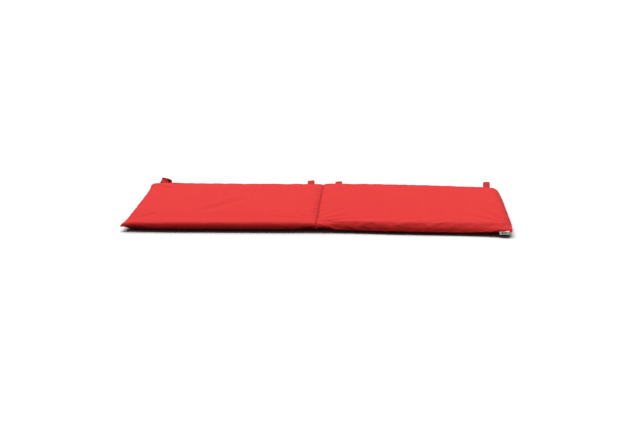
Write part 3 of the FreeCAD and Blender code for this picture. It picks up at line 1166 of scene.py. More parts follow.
@dataclass
class Stuffing:
    """Swells and crumples the cover's panels with a cloth simulation over their filling."""

    frames: int = 22
    pressure: float = 1.4
    spare: float = 0.012
    bending: float = 0.35
    swell: float = 3.2 * MM
    sink: float = 2.2 * MM
    tight_front: float = 0.7
    tight_back: float = 0.5
    front_reach: float = 110 * MM
    front_fade: float = 60 * MM
    back_reach: float = 90 * MM
    back_fade: float = 50 * MM

    def settle(self, sheets: list[Sheet], faces: list[list]) -> None:
        """Runs the simulation on all panels at once and moves their points.

        Args:
            sheets: The panels. Their points are changed.
            faces: The quads of each panel.
        """
        pile = MeshPile()
        pinned, start = [], 0
        for sheet, quads in zip(sheets, faces):
            flat = sheet.points.reshape(-1, 3)
            pile.add(flat, quads)
            index = np.arange(len(flat)).reshape(sheet.points.shape[:2])
            # the lines beside each seam stay put, and more of them at the back, beside the zip
            held = (index[:2], index[-2:], index[:, :2], index[:, -5:])
            rim = np.unique(np.concatenate([lines.ravel() for lines in held]))
            pinned.extend((start + rim).tolist())
            start += len(flat)
        cloth = pile.make("settling_cloth")
        cloth.vertex_groups.new(name="sewn").add(pinned, 1.0, "REPLACE")
        base = coordinates(cloth.data)
        normals = np.empty(len(base) * 3)
        cloth.data.vertices.foreach_get("normal", normals)
        settled = self.simulate(cloth)
        bpy.data.objects.remove(cloth)
        moved = settled - base
        normals = normals.reshape(-1, 3)
        out = (moved * normals).sum(1)
        most = np.where(out > 0, self.swell, self.sink)
        limited = most * np.tanh(out / most)
        sideways = moved - normals * out[:, None]
        reach = np.linalg.norm(sideways, axis=1)[:, None] + 1e-9
        sideways *= np.tanh(reach / self.sink) * self.sink / reach
        moved = (sideways + normals * limited[:, None]) * (1.0 - self.tightness(base))[:, None]
        start = 0
        for sheet in sheets:
            count = sheet.points.shape[0] * sheet.points.shape[1]
            sheet.points += moved[start : start + count].reshape(sheet.points.shape)
            start += count

    def tightness(self, base: np.ndarray) -> np.ndarray:
        """Works out how much less the cloth gives where it is stretched tight.

        Args:
            base: The points of all panels.

        Returns:
            The share taken off, high along the left half's front and along the back.
        """
        y = base[:, 1]
        near_front = smoothstep((y.min() + self.front_reach - y) / self.front_fade)
        near_front = (base[:, 0] < 0) * near_front
        near_back = smoothstep((y - y.max() + self.back_reach) / self.back_fade)
        return np.maximum(self.tight_front * near_front, self.tight_back * near_back)

    def simulate(self, cloth: bpy.types.Object) -> np.ndarray:
        """Steps the cloth through its frames.

        Args:
            cloth: The object, with its sewn vertices in the group "sewn".

        Returns:
            Where its vertices end up.
        """
        modifier = cloth.modifiers.new("settle", "CLOTH")
        settings = modifier.settings
        settings.quality = 5
        settings.mass = 0.2
        settings.tension_stiffness = settings.compression_stiffness = 25.0
        settings.shear_stiffness = 8.0
        settings.bending_stiffness = self.bending
        settings.air_damping = 4.0
        settings.vertex_group_mass = "sewn"
        settings.shrink_min = -self.spare
        settings.use_pressure = True
        settings.uniform_pressure_force = self.pressure
        settings.effector_weights.gravity = 0.0
        modifier.collision_settings.use_collision = False
        modifier.point_cache.frame_start = 1
        modifier.point_cache.frame_end = self.frames
        for step in range(1, self.frames + 1):
            bpy.context.scene.frame_set(step)
        shaped = cloth.evaluated_get(bpy.context.evaluated_depsgraph_get())
        settled = coordinates(shaped.data).copy()
        bpy.context.scene.frame_set(1)
        return settled


# heights over mid height in millimetres, from the fold line out and, in each, from front to back
LEFT_HEIGHTS = ((9.5, 17.0, 17.5), (8.5, 17.0, 13.0), (9.0, 15.0, 12.0))
RIGHT_HEIGHTS = ((8.0, 17.5, 19.0), (8.5, 17.0, 18.5), (9.5, 14.0, 11.5))
LEFT_ROUNDNESS = {
    (True, True): (26 * MM, 0.1),
    (True, False): (26 * MM, 0.1),
    (False, True): (7 * MM, 0.5),
    (False, False): (12 * MM, 0.2),
}
RIGHT_ROUNDNESS = {
    (True, True): (25 * MM, 0.8),
    (True, False): (30 * MM, 0.6),
    (False, True): (8 * MM, 0.5),
    (False, False): (16 * MM, 1.0),
}
# corners that the sewing pinches flat: at the outer edge, at the back, reach and share
LEFT_PINCHES = (
    (True, False, 42 * MM, 0.35),
    (True, True, 34 * MM, 0.12),
    (False, False, 30 * MM, 0.3),
)
RIGHT_PINCHES = ((True, False, 45 * MM, 0.3), (False, False, 30 * MM, 0.3))
LEFT_CREASES = (
    Crease((0.590, 0.440), (0.49, 0.365), 7 * MM, 3.2 * MM, 5 * MM),
    Crease((0.575, 0.465), (0.45, 0.425), 7 * MM, 2.8 * MM, -4 * MM),
    Crease((0.580, 0.385), (0.52, 0.300), 10 * MM, 1.6 * MM, 3 * MM),
    Crease((0.380, 0.100), (0.22, 0.300), 20 * MM, 2.4 * MM, 12 * MM),
    Crease((0.018, 0.445), (0.10, 0.380), 9 * MM, 1.5 * MM, 4 * MM),
    Crease((0.575, 0.030), (0.48, 0.110), 9 * MM, 1.2 * MM, 4 * MM),
    Crease((0.590, 0.060), (0.54, 0.170), 9 * MM, 1.0 * MM, -4 * MM),
    Crease((0.018, 0.060), (0.08, 0.110), 8 * MM, 1.4 * MM, 3 * MM),
    Crease((0.030, 0.050), (0.14, 0.075), 8 * MM, 1.0 * MM, -3 * MM),
)
RIGHT_CREASES = (
    Crease((0.016, 0.055), (0.13, 0.105), 8 * MM, 2.0 * MM, 5 * MM),
    Crease((0.020, 0.090), (0.10, 0.170), 9 * MM, 1.6 * MM, 4 * MM),
    Crease((0.030, 0.045), (0.20, 0.080), 8 * MM, 1.2 * MM, -4 * MM),
    Crease((0.120, 0.045), (0.27, 0.080), 10 * MM, 1.1 * MM, 5 * MM),
    Crease((0.240, 0.045), (0.36, 0.085), 11 * MM, 1.0 * MM, 5 * MM),
    Crease((0.340, 0.045), (0.44, 0.085), 11 * MM, 0.8 * MM, -4 * MM),
    Crease((0.585, 0.060), (0.50, 0.210), 13 * MM, 2.6 * MM, 8 * MM),
    Crease((0.590, 0.130), (0.53, 0.270), 11 * MM, 2.0 * MM, -5 * MM),
    Crease((0.580, 0.050), (0.45, 0.130), 12 * MM, 1.8 * MM, 6 * MM),
    Crease((0.590, 0.250), (0.54, 0.370), 11 * MM, 1.6 * MM, 4 * MM),
    Crease((0.018, 0.450), (0.09, 0.390), 9 * MM, 1.4 * MM, 3 * MM),
    Crease((0.575, 0.450), (0.47, 0.390), 11 * MM, 1.8 * MM, -5 * MM),
    Crease((0.300, 0.440), (0.20, 0.400), 14 * MM, 1.2 * MM, 4 * MM),
)


@dataclass
class PaddedCover:
    """Both halves of the cover with the wadding and the foam inside them."""

    wardrobe: Wardrobe
    stuffing: Stuffing = field(default_factory=Stuffing)
    bend_reach: float = 7 * MM
    wadding_depths: tuple[float, float] = (4.0 * MM, 8.0 * MM)
    foam_depth: float = 8.3 * MM
    fold_space: float = 12 * MM
    wadding_pitch: float = 14 * MM
    foam_pitch: float = 12 * MM
    ruffle: float = 0.4 * MM
    fold_clearance: float = 2.1 * MM

    def __post_init__(self) -> None:
        """Sets out the two halves."""
        self.halves = [
            CoverHalf(
                Side.LEFT,
                LEFT_HEIGHTS,
                LEFT_ROUNDNESS,
                LEFT_CREASES,
                front_roll=(16 * MM, 13 * MM),
                underside_roll=(34 * MM, 26 * MM),
                seed=11,
                outer_roll=19 * MM,
                front_pull=-5 * MM,
                droop=8.5 * MM,
                droop_end=0.55,
                pinches=LEFT_PINCHES,
                ears=((False, 16 * MM, 5 * MM), (True, 14 * MM, 5 * MM)),
            ),
            CoverHalf(
                Side.RIGHT,
                RIGHT_HEIGHTS,
                RIGHT_ROUNDNESS,
                RIGHT_CREASES,
                front_roll=(16 * MM, 34 * MM),
                underside_roll=(34 * MM, 30 * MM),
                seed=23,
                outer_pull=-4 * MM,
                front_pull=9 * MM,
                fold_pull_power=2.6,
                outer_draw=6 * MM,
                droop=11 * MM,
                droop_end=0.45,
                pinches=RIGHT_PINCHES,
                ears=((False, 16 * MM, 3 * MM),),
            ),
        ]

    def build(self) -> None:
        """Builds every piece of both halves."""
        jobs = [(half, face, half.surface(face)) for half in self.halves for face in Face]
        faces = [half.panel_faces(sheet.points.shape, face) for half, face, sheet in jobs]
        self.stuffing.settle([sheet for _, _, sheet in jobs], faces)
        for (half, face, sheet), quads in zip(jobs, faces):
            self.make_panel(half, face, sheet, quads)
        for half in self.halves:
            self.make_wadding(half)
            self.make_foam(half)

    def across_fold(self, piece: bpy.types.Object) -> None:
        """Bakes a piece's placement into its mesh."""
        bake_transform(piece)

    def make_panel(self, half: CoverHalf, face: Face, sheet: Sheet, quads: list) -> None:
        """Makes one panel of the cover.

        Args:
            half: The half that it belongs to.
            face: Top or bottom.
            sheet: Its settled points.
            quads: Its faces.
        """
        sheet.points[..., 2] = np.maximum(sheet.points[..., 2], 0.0)
        out = half.side.value * sheet.points[..., 0]
        sheet.points[..., 0] = half.side.value * np.maximum(out, self.fold_clearance)
        name = f"{half.side.word}_{face.word}_cover"
        panel = new_object(name, sheet.points.reshape(-1, 3), quads)
        set_chart(panel, sheet.chart.reshape(-1, 2))
        set_seam(panel, sheet.seam.ravel())
        subdivide(panel, 1)
        self.wardrobe.dress(panel, "cover_fabric")
        self.across_fold(panel)
        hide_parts(f"{half.side.word}_{face.word}_panel")
        LOG.info("%s has %d faces", name, len(panel.data.polygons))

    def skin(self, half: CoverHalf, inset: float, pitch: float) -> list[np.ndarray]:
        """Lays out the skin of the filling at some depth under the cover.

        Args:
            half: The half that it belongs to.
            inset: The depth.
            pitch: The grid's spacing.

        Returns:
            The points over and under the filling.
        """
        return [half.surface(face, inset, self.fold_space, pitch).points for face in Face]

    def make_wadding(self, half: CoverHalf) -> None:
        """Makes the wadding that wraps the foam over the top, the front and the underside."""
        skins, edge = [], len(EDGE_LINES)
        for inset in self.wadding_depths:
            top, bottom = self.skin(half, inset, self.wadding_pitch)
            skin = np.concatenate([top[:, ::-1], bottom[:, 1:]], axis=1)
            skins.append(skin[edge:-edge, edge:-edge])
        outer, inner = skins
        ruffle = half.noise.at(outer[..., 0], outer[..., 1] + outer[..., 2], 0.02) * self.ruffle
        outer[..., 2] += np.sign(outer[..., 2] - half.mid) * ruffle
        around = np.concatenate([outer, inner[:, ::-1]], axis=1)
        rows, columns = around.shape[:2]
        faces = grid_faces(rows, columns, closed_columns=True)
        for end, order in ((0, 1), (rows - 1, -1)):
            ring = [end * columns + c for c in range(columns)]
            half_way = columns // 2
            caps = [(ring[c], ring[c + 1], ring[-c - 2], ring[-c - 1]) for c in range(half_way - 1)]
            faces.extend(cap[::order] for cap in caps)
        wadding = new_object(half.side.word + "_wadding", around.reshape(-1, 3), faces)
        tidy_normals(wadding)
        self.wardrobe.dress(wadding, "wadding")
        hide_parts(half.side.word + "_wadding_wrap")
        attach(wadding, half.side.word + "_section")
        LOG.info("%s made", wadding.name)

    def make_foam(self, half: CoverHalf) -> None:
        """Makes the foam slab, with the soft corners that foam takes under a tight cover."""
        pile = MeshPile()
        for points, face in zip(self.skin(half, self.foam_depth, self.foam_pitch), Face):
            pile.add(points.reshape(-1, 3), half.panel_faces(points.shape, face))
        foam = pile.make(half.side.word + "_foam")
        tidy_normals(foam, weld=0.05 * MM)
        subdivide(foam, 1)
        self.wardrobe.dress(foam, "foam")
        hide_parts(half.side.word + "_foam_core")
        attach(foam, half.side.word + "_section")
        LOG.info("%s made", foam.name)


# ---------------------------------------------------------------- the fold seam


@dataclass
class FoldSeam:
    """The sewn line where the halves meet: a narrow welt and the stitches along it."""

    wardrobe: Wardrobe
    cover: PaddedCover
    welt_half_width: float = 4 * MM
    welt_proud: float = 0.4 * MM
    welt_step: float = 5 * MM
    end_inset: float = 1.5 * MM
    end_fade: float = 22 * MM
    groove_shadow_start: float = 9 * MM
    groove_shadow_fade: float = 6 * MM
    tuck_half_width: float = 10 * MM
    tuck_thickness: float = 0.9 * MM
    tuck_back: float = 17 * MM
    tuck_run: float = 31 * MM
    tuck_top: float = 13 * MM
    tuck_drop: float = 21 * MM
    tuck_shift: float = 1.5 * MM
    pleat: float = 0.7 * MM
    stitch_step: float = 3.4 * MM
    stitch_length: float = 2.9 * MM
    thread_radius: float = 0.33 * MM

    def __post_init__(self) -> None:
        """Reads the seam's place from the frame."""
        self.low, self.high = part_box("fold_seam_web")
        self.middle = (self.low.z + self.high.z) / 2
        self.half_thick = (self.high.z - self.low.z) / 2
        drawn = self.cover.halves[0].front_line(np.array(0.0))
        self.front = self.low.y + drawn + self.end_inset

    def lifted(self, y: np.ndarray) -> np.ndarray:
        """How far the sewn line is drawn up at places along it."""
        line = self.cover.halves[1].fold_line(y - self.low.y)
        return line * smoothstep((y - self.front) / self.end_fade)

    def build(self) -> None:
        """Makes the welt, the tuck that gathers its front end, and the stitches."""
        self.make_welt()
        self.make_stitches()
        LOG.info("fold seam made")

    def make_welt(self) -> None:
        """Makes the welt with the tuck at its front end."""
        run = np.arange(self.front, self.high.y, self.welt_step)
        height = self.middle + self.lifted(run) + self.welt_proud
        path = np.stack([0 * run, run, height], axis=-1)
        pile = MeshPile()
        pile.add_tube(path, (self.welt_half_width, self.half_thick), sides=16)
        pile.add_shell(self.tuck(), self.tuck_thickness)
        welt = pile.make("fold_welt")
        tidy_normals(welt)
        points = coordinates(welt.data)
        from_front = points[:, 1] - self.front
        # painted shadow: past its front end the welt carries the full seam mark, so the cloth
        # finish darkens it as the shade deep in the groove; the front end and the tuck stay lit
        set_seam(welt, smoothstep((from_front - self.groove_shadow_start) / self.groove_shadow_fade))
        set_chart(welt, points[:, :2])
        self.wardrobe.dress(welt, "cover_fabric")
        self.cover.across_fold(welt)
        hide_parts("fold_seam_web")

    def make_stitches(self) -> None:
        """Makes the stitches over and under the welt."""
        stitches, step, run = MeshPile(), self.stitch_step, (0, self.stitch_length, 0)
        for face in Face:
            out = face.value * (self.half_thick + self.thread_radius * 0.4)
            z = self.middle + self.welt_proud + out
            for y in np.arange(self.front + step, self.high.y - step, step):
                place = (0.0, y, z + float(self.lifted(np.array(y))))
                add_stitch(stitches, place, run, (0, 0, face.value), self.thread_radius)
        threads = stitches.make("fold_stitches")
        self.wardrobe.dress(threads, "thread")
        self.cover.across_fold(threads)
        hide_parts("fold_seam_thread")

    def tuck(self) -> np.ndarray:
        """Lays out the little gathered tongue of cloth that closes the groove at the front.

        Returns:
            A grid of points on the tongue's outer face.
        """
        s = np.linspace(-1.0, 1.0, 13)[:, None]
        t = np.linspace(0.0, 1.0, 15)[None]
        pleat = self.pleat * np.cos(s * 7.0 + 0.8) * np.sin(t * math.pi)
        x = s * self.tuck_half_width * (0.3 + 0.7 * smoothstep(t * 1.3)) - self.tuck_shift
        y = self.front + self.tuck_back - self.tuck_run * t**0.9 + 5 * MM * s**2 * t - pleat
        z = self.middle + self.tuck_top - 2.5 * MM * s**2 - self.tuck_drop * t**1.8 + pleat
        return np.stack([x, y, z], axis=-1)


def add_stitch(pile: MeshPile, middle: tuple, run: tuple, out: tuple, radius: float) -> None:
    """Adds one stitch that rises out of the cloth and dips back into it.

    Args:
        pile: The pile that it joins.
        middle: The middle of the stitch, on the cloth.
        run: The vector from its start to its end.
        out: The direction away from the cloth, one unit long.
        radius: The thread's radius.
    """
    t = np.linspace(-0.5, 0.5, 6)[:, None]
    arch = (1.0 - (2 * np.abs(t)) ** 3) * radius * 1.5 - radius * 0.9
    path = np.array(middle) + t * np.array(run) + arch * np.array(out)
    pile.add_tube(path, (radius, radius), sides=6, up=out)


# ---------------------------------------------------------------- strap loops


@dataclass
class StrapLoop:
    """A loop of flat webbing, sewn into the back seam and crossed by a bartack."""

    name: str
    side: Side
    lean: float
    twist: float
    bulge: float
    reach: float
    shift: float = 0.0
    width: float = 23.5 * MM
    belly: float = 1.15
    end_power: float = 5.0
    curl: float = 2.5 * MM
    thickness: float = 1.5 * MM
    buried: float = 5 * MM
    closed: float = 6 * MM
    bend_end: float = 9 * MM
    section_lines: int = 25
    rib: float = 0.06 * MM
    tack: tuple[float, float] = (8.6 * MM, 11.0 * MM)
    tack_margin: float = 1.6 * MM
    tack_turns: int = 45

    def __post_init__(self) -> None:
        """Reads the loop's place from the frame."""
        low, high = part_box(self.name)
        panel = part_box(self.side.word + "_top_panel")
        self.middle = (low.x + high.x) / 2
        self.back = panel[1].y
        self.mid = panel[0].z

    def place(self, run: np.ndarray, across: np.ndarray, lift: np.ndarray) -> np.ndarray:
        """Puts points of the loop's own side view into the frame.

        Args:
            run: Distances from the back edge along the loop.
            across: Distances from the loop's middle across the webbing.
            lift: Distances over the loop's middle plane.

        Returns:
            The points.
        """
        share = np.clip(run / self.reach, 0.0, 1.0)
        run = run - self.curl * (across / (self.width / 2)) ** 2 * share**3
        turn = math.radians(self.twist) * smoothstep((share - 0.12) / 0.75)
        x = self.middle + self.shift * share + across * np.cos(turn) - lift * np.sin(turn)
        up = across * np.sin(turn) + lift * np.cos(turn)
        lean = math.radians(self.lean)
        rise = run * math.sin(lean) * smoothstep(share * 4)
        return np.stack([x, self.back + run * math.cos(lean), self.mid + up + rise], axis=-1)

    def opened(self, run: np.ndarray) -> np.ndarray:
        """How far along the opened part of the loop a distance from the back edge is."""
        return np.clip((run - self.closed) / (self.reach - self.closed), 0.0, 1.0)

    def build(self, wardrobe: Wardrobe) -> None:
        """Makes the webbing and its bartack.

        Args:
            wardrobe: The finishes.
        """
        turn = np.linspace(0.0, 2 * math.pi, 97)
        share = (1 - np.cos(turn)) / 2
        run = -self.buried + (self.reach + self.buried) * share
        opened = self.opened(run)
        way = np.where(turn < math.pi, 1.0, -1.0)
        round_end = np.sqrt(np.clip(1 - opened**self.end_power, 0.0, 1.0))
        lift = way * round_end * (self.thickness * 0.55 + self.bulge * opened**self.belly)
        line = np.stack([run, lift], axis=-1)
        along = np.gradient(line, axis=0)
        along /= np.linalg.norm(along, axis=1)[:, None] + 1e-12
        out = np.stack([along[:, 1], -along[:, 0]], axis=-1)
        w, n, chart_across = self.section()
        rows = line[:, None] + out[:, None] * n[None, :, None]
        across = np.broadcast_to(w[None], rows.shape[:2])
        points = self.place(rows[..., 0], across, rows[..., 1])
        faces = grid_faces(len(line), len(w), closed_columns=True)
        webbing = new_object(self.name + "_webbing", points.reshape(-1, 3), faces)
        steps = np.linalg.norm(np.diff(line, axis=0), axis=1)
        length = np.concatenate([[0.0], np.cumsum(steps)])
        chart = np.stack(np.broadcast_arrays(length[:, None], chart_across[None]), axis=-1)
        set_chart(webbing, chart.reshape(-1, 2))
        # the selvedges carry the seam mark, so the cloth finish darkens them and rubs them pale as
        # it does along seams
        selvedge = np.broadcast_to(np.abs(w) > self.width * 0.46, rows.shape[:2])
        set_seam(webbing, selvedge.ravel())
        tidy_normals(webbing)
        self.finish(webbing, wardrobe, "strap_webbing", self.name)
        tack = self.bartack().make(self.name + "_bartack")
        self.finish(tack, wardrobe, "thread", self.name + "_bartacks")
        LOG.info("%s made", self.name)

    def section(self) -> tuple[np.ndarray, np.ndarray, np.ndarray]:
        """The webbing's cross-section, with ribs on both faces and rounded selvedges.

        Returns:
            Distances across, distances along the thickness, and distances round the section.
        """
        half = self.width / 2
        w = np.linspace(-half, half, self.section_lines)
        ribs = self.rib * np.cos(np.linspace(0, 12 * math.pi, self.section_lines))
        edge = np.clip((half - np.abs(w)) / (0.8 * MM), 0.0, 1.0)
        n = self.thickness / 2 * np.sqrt(1 - (1 - edge) ** 2) * 0.9 + ribs * edge + 0.05 * MM
        return (
            np.concatenate([w, w[::-1]]),
            np.concatenate([n, -n[::-1]]),
            np.concatenate([w + half, 2 * self.width - (w + half)]),
        )

    def bartack(self) -> MeshPile:
        """Lays the zigzag of thread across both faces of the loop's root."""
        pile = MeshPile()
        half = self.width / 2 - self.tack_margin
        steps = np.linspace(-half, half, self.tack_turns)
        zigzag = np.where(np.arange(self.tack_turns) % 2 == 0, *self.tack)
        out = self.thickness * 1.08 + self.bulge * self.opened(zigzag) ** self.belly
        for face in Face:
            lift = face.value * out
            pile.add_tube(self.place(zigzag, steps, lift), (0.24 * MM, 0.3 * MM), sides=6)
        return pile

    def finish(self, piece: bpy.types.Object, wardrobe: Wardrobe, finish: str, node: str) -> None:
        """Dresses a piece of the loop, bakes its placement into its mesh and hides the node that it
        stands for.
        """
        wardrobe.dress(piece, finish)
        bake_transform(piece)
        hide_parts(node)


# ---------------------------------------------------------------- zips


@dataclass
class ZipFastener:
    """The zip in a half's back edge: two tapes with coils, stops, a slider and its pull."""

    wardrobe: Wardrobe
    side: Side
    coil_pitch: float = 1.5 * MM
    wire: float = 0.34 * MM
    head_gap: float = 0.55 * MM
    tape_end: float = 9 * MM
    lining_depth: float = 3.4 * MM
    stitch_step: float = 3.6 * MM
    stitch_length: float = 3.0 * MM
    coil_steps: int = 12
    softened: float = 0.22 * MM

    def __post_init__(self) -> None:
        """Reads the zip's place from the frame."""
        word = self.side.word
        self.coil = {face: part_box(f"{word}_zip_{self.level(face)}_coil") for face in Face}
        self.tape = {face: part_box(f"{word}_zip_{self.level(face)}_tape") for face in Face}
        self.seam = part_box(word + "_zip_stitching")
        self.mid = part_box(word + "_top_panel")[0].z

    @staticmethod
    def level(face: Face) -> str:
        """The word that the zip's nodes use for a panel."""
        return "upper" if face is Face.TOP else "lower"

    def build(self) -> None:
        """Makes the tapes, coils and stitches, and dresses the metal parts."""
        for face in Face:
            self.make_tape(face)
            self.make_coil(face)
        self.make_stitches()
        word = self.side.word
        for node in ("zip_stops", "zip_slider", "zip_pull"):
            part = self.wardrobe.dress_node(f"{word}_{node}", "zip_metal")
            soften_edges(part, self.softened)
        self.wardrobe.dress_node(word + "_loop_tabs", "strap_webbing")
        LOG.info("%s zip made", word)

    def keep(self, piece: bpy.types.Object, finish: str, node: str) -> None:
        """Dresses a piece, puts it on this half and hides the node that it stands for."""
        self.wardrobe.dress(piece, finish)
        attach(piece, self.side.word + "_section")
        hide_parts(f"{self.side.word}_{node}")

    def make_tape(self, face: Face) -> None:
        """Makes one tape, with a cord along its inner edge and a lining behind it."""
        low, high = self.tape[face]
        y = (low.y + high.y) / 2
        x = np.linspace(low.x - self.tape_end, high.x + self.tape_end, 90)
        pile = MeshPile()
        # height, half height, depth and half thickness of the tape, the cord and the lining
        bands = [
            ((low.z + high.z) / 2, (high.z - low.z) / 2, y, (high.y - low.y) / 2),
            (self.mid + face.value * 1.1 * MM, 0.5 * MM, y, 0.42 * MM),
            (self.mid + face.value * 3.5 * MM, 3.6 * MM, high.y - self.lining_depth, 0.4 * MM),
        ]
        for middle, half, depth, thick in bands:
            path = np.stack([x, 0 * x + depth, 0 * x + middle], axis=-1)
            pile.add_tube(path, (thick, half), sides=16)
        tape = pile.make(f"{self.side.word}_zip_{self.level(face)}_band")
        points = coordinates(tape.data)
        beyond = np.abs(points[:, 0] - (low.x + high.x) / 2) - (high.x - low.x) / 2
        tapered = 0.1 + 0.9 * smoothstep((self.tape_end + 1 * MM - beyond) / self.tape_end)
        points[:, 2] = self.mid + (points[:, 2] - self.mid) * tapered
        tape.data.vertices.foreach_set("co", points.ravel())
        set_chart(tape, coordinates(tape.data)[:, [0, 2]])
        self.keep(tape, "zip_tape", f"zip_{self.level(face)}_tape")

    def make_coil(self, face: Face) -> None:
        """Winds one row of nylon coils."""
        low, high = self.coil[face]
        near, far = self.head_gap, max(abs(low.z - self.mid), abs(high.z - self.mid))
        turns = (high.x - low.x) / self.coil_pitch
        start = math.pi if face is Face.BOTTOM else 0.0
        turn = np.arange(int(turns * self.coil_steps)) * 2 * math.pi / self.coil_steps + start
        x = low.x + self.wire + (turn - turn[0]) / (2 * math.pi) * self.coil_pitch
        y = (low.y + high.y) / 2 + ((high.y - low.y) / 2 - self.wire) * np.sin(turn)
        swing = np.sign(np.cos(turn)) * np.abs(np.cos(turn)) ** 0.7
        z = self.mid + face.value * ((near + far) / 2 + ((far - near) / 2 - self.wire) * swing)
        keep = x < high.x - self.wire
        pile, path = MeshPile(), np.stack([x, y, z], axis=-1)[keep]
        pile.add_tube(path, (self.wire, self.wire), sides=6, up=(1, 0, 0))
        coil = pile.make(f"{self.side.word}_zip_{self.level(face)}_teeth")
        self.keep(coil, "zip_coil", f"zip_{self.level(face)}_coil")

    def make_stitches(self) -> None:
        """Sews the cover's folded edges to the tapes."""
        low, high = self.seam
        pile = MeshPile()
        for face in Face:
            z = high.z - 0.4 * MM if face is Face.TOP else low.z + 0.4 * MM
            for x in np.arange(low.x + 2 * MM, high.x - 2 * MM, self.stitch_step):
                place, run = (x, high.y - 0.5 * MM, z), (self.stitch_length, 0, 0)
                add_stitch(pile, place, run, (0, 1, 0), 0.32 * MM)
        self.keep(pile.make(self.side.word + "_zip_stitches"), "thread", "zip_stitching")


def soften_edges(part: bpy.types.Object, width: float) -> None:
    """Rounds a part's sharp edges a little with a modifier."""
    modifier = part.modifiers.new("soften", "BEVEL")
    modifier.width = width
    modifier.segments = 2
    modifier.limit_method = "ANGLE"
    modifier.harden_normals = False


# ---------------------------------------------------------------- the side label


# a block and three bars on the ribbon: from and to along it, then from and to down it, as shares
LABEL_MARKS = (
    (0.25, 0.40, 0.34, 0.84),
    (0.47, 0.78, 0.34, 0.50),
    (0.47, 0.70, 0.58, 0.66),
    (0.47, 0.74, 0.75, 0.83),
)


@dataclass
class SideLabel:
    """A folded woven ribbon that hangs from the front seam, with plain marks on its face."""

    wardrobe: Wardrobe
    half: CoverHalf
    columns: int = 65
    rows: int = 29
    thickness: float = 0.45 * MM
    curl: float = 6.5 * MM
    proud: float = 2.2 * MM
    buried: float = 2.5 * MM
    drop: float = 8.5 * MM
    raised: float = 3.4 * MM
    narrowed: float = 3 * MM

    def build(self) -> None:
        """Makes the ribbon with its marks."""
        low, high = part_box("side_label")
        a = np.linspace(0.0, 1.0, self.columns)[:, None]
        b = np.linspace(0.0, 1.0, self.rows)[None]
        x = low.x + self.narrowed + (high.x - low.x - self.narrowed + 1 * MM) * a + 0 * b
        share = x / self.half.length
        mid = self.half.mid - self.half.front_droop(share)
        front = self.half.low.y + self.half.front_line(share)
        hang = smoothstep(b / 0.25)
        y = front + self.buried * (1 - hang) - self.proud * hang
        y = y - self.curl * b**1.3 * (0.75 + 0.25 * np.sin(a * 2.6 + 0.4))
        y = y - 0.25 * MM * np.sin(a * 9.0) * b
        z = mid + self.raised - self.drop * np.clip((b - 0.08) / 0.92, 0, 1)
        z = z + 0.4 * MM * np.sin(a * 2.2) * b
        pile = MeshPile()
        shown = pile.add_shell(np.stack([x, y, z], axis=-1), self.thickness)
        label = pile.make("side_label_ribbon")
        flat = np.stack([x - low.x, 0 * x + self.drop * b], axis=-1).reshape(-1, 2)
        set_chart(label, np.concatenate([flat, flat]))
        tidy_normals(label)
        self.wardrobe.dress(label, "label")
        self.mark(label, shown)
        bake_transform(label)
        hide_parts("side_label")
        LOG.info("label made")

    def mark(self, label: bpy.types.Object, front_faces: int) -> None:
        """Weaves three plain bars and a block into the ribbon's face.

        Args:
            label: The ribbon.
            front_faces: How many of its faces make up its front.
        """
        label.data.materials.append(self.wardrobe.materials["label_mark"])
        for face in list(label.data.polygons)[:front_faces]:
            corner = face.vertices[0]
            a, b = corner // self.rows / (self.columns - 1), corner % self.rows / (self.rows - 1)
            if any(a0 <= a <= a1 and b0 <= b <= b1 for a0, a1, b0, b1 in LABEL_MARKS):
                face.material_index = 1


# ---------------------------------------------------------------- the studio


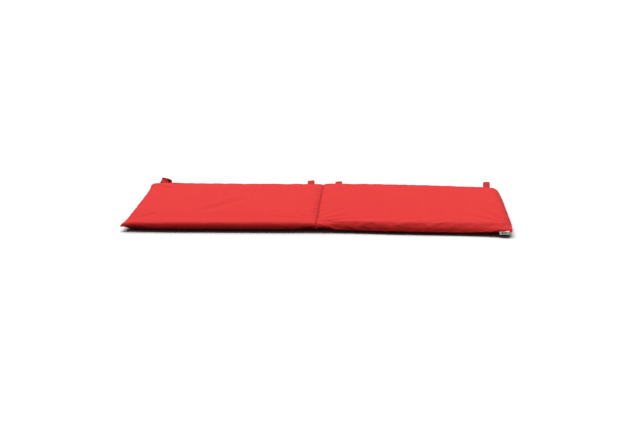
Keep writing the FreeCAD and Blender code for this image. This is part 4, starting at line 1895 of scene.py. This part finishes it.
@dataclass
class Studio:
    """The floor, the lights and the camera."""

    wardrobe: Wardrobe
    lens: float = 62.9
    eye: tuple[float, float, float] = (0.187, -3.505, 1.02)
    down: float = math.radians(16.3)
    yaw: float = math.radians(3.2)
    overhead: float = 3.9
    softness: float = math.radians(70)
    all_round: float = 0.08
    tilt: tuple[float, float, float] = (math.radians(-26), math.radians(-8), 0.0)
    floor_reach: float = 30.0
    floor_drop: float = 0.2 * MM

    def build(self) -> None:
        """Sets up the studio."""
        self.lay_floor()
        self.light_up()
        self.set_camera()

    def lay_floor(self) -> None:
        """Lays a pale floor that runs past every edge of the view."""
        r = self.floor_reach
        corners = [(-r, -r, 0), (r, -r, 0), (r, r, 0), (-r, r, 0)]
        floor = new_object("floor", np.array(corners), [(0, 1, 2, 3)], smooth=False)
        floor.location.z = -self.floor_drop
        floor.data.materials.append(self.wardrobe.materials["floor"])

    def light_up(self) -> None:
        """Lights the mat from a wide soft lamp high over it, with a little light from all round."""
        world = bpy.data.worlds.new("studio")
        bpy.context.scene.world = world
        world.use_nodes = True
        sky = world.node_tree.nodes["Background"]
        sky.inputs["Color"].default_value = (1.0, 1.0, 1.0, 1.0)
        sky.inputs["Strength"].default_value = self.all_round
        bpy.context.scene.view_settings.view_transform = "Standard"
        lamp = bpy.data.lights.new("overhead", "SUN")
        lamp.energy = self.overhead
        lamp.angle = self.softness
        holder = bpy.data.objects.new("overhead", lamp)
        holder.rotation_euler = self.tilt
        bpy.context.scene.collection.objects.link(holder)

    def set_camera(self) -> None:
        """Puts the camera in front of the mat, a little over it."""
        camera = bpy.data.cameras.new("view")
        camera.lens = self.lens
        camera.sensor_width = 36.0
        holder = bpy.data.objects.new("view", camera)
        holder.location = self.eye
        holder.rotation_euler = (math.pi / 2 - self.down, 0.0, self.yaw)
        bpy.context.scene.collection.objects.link(holder)
        bpy.context.scene.camera = holder


LOOPS = (
    StrapLoop(
        "left_outer_loop",
        Side.LEFT,
        -0.5,
        76.0,
        27 * MM,
        57 * MM,
        shift=-4 * MM,
        belly=0.7,
        end_power=3.0,
    ),
    StrapLoop("left_inner_loop", Side.LEFT, 5.5, 9.0, 8 * MM, 59 * MM, shift=-2 * MM),
    StrapLoop(
        "right_inner_loop", Side.RIGHT, 0.0, 6.0, 14 * MM, 58 * MM, shift=-1 * MM, curl=4 * MM
    ),
    StrapLoop("right_outer_loop", Side.RIGHT, 9.0, 3.0, 8 * MM, 61 * MM, shift=4 * MM, curl=5 * MM),
)


def main() -> None:
    """Builds every piece, in order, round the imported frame."""
    logging.basicConfig(level=logging.INFO, format="%(name)s: %(message)s")
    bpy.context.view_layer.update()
    wardrobe = Wardrobe()
    cover = PaddedCover(wardrobe)
    cover.build()
    FoldSeam(wardrobe, cover).build()
    for loop in LOOPS:
        loop.build(wardrobe)
    for side in Side:
        ZipFastener(wardrobe, side).build()
    SideLabel(wardrobe, cover.halves[1]).build()
    Studio(wardrobe).build()


if __name__ == "__main__":
    main()
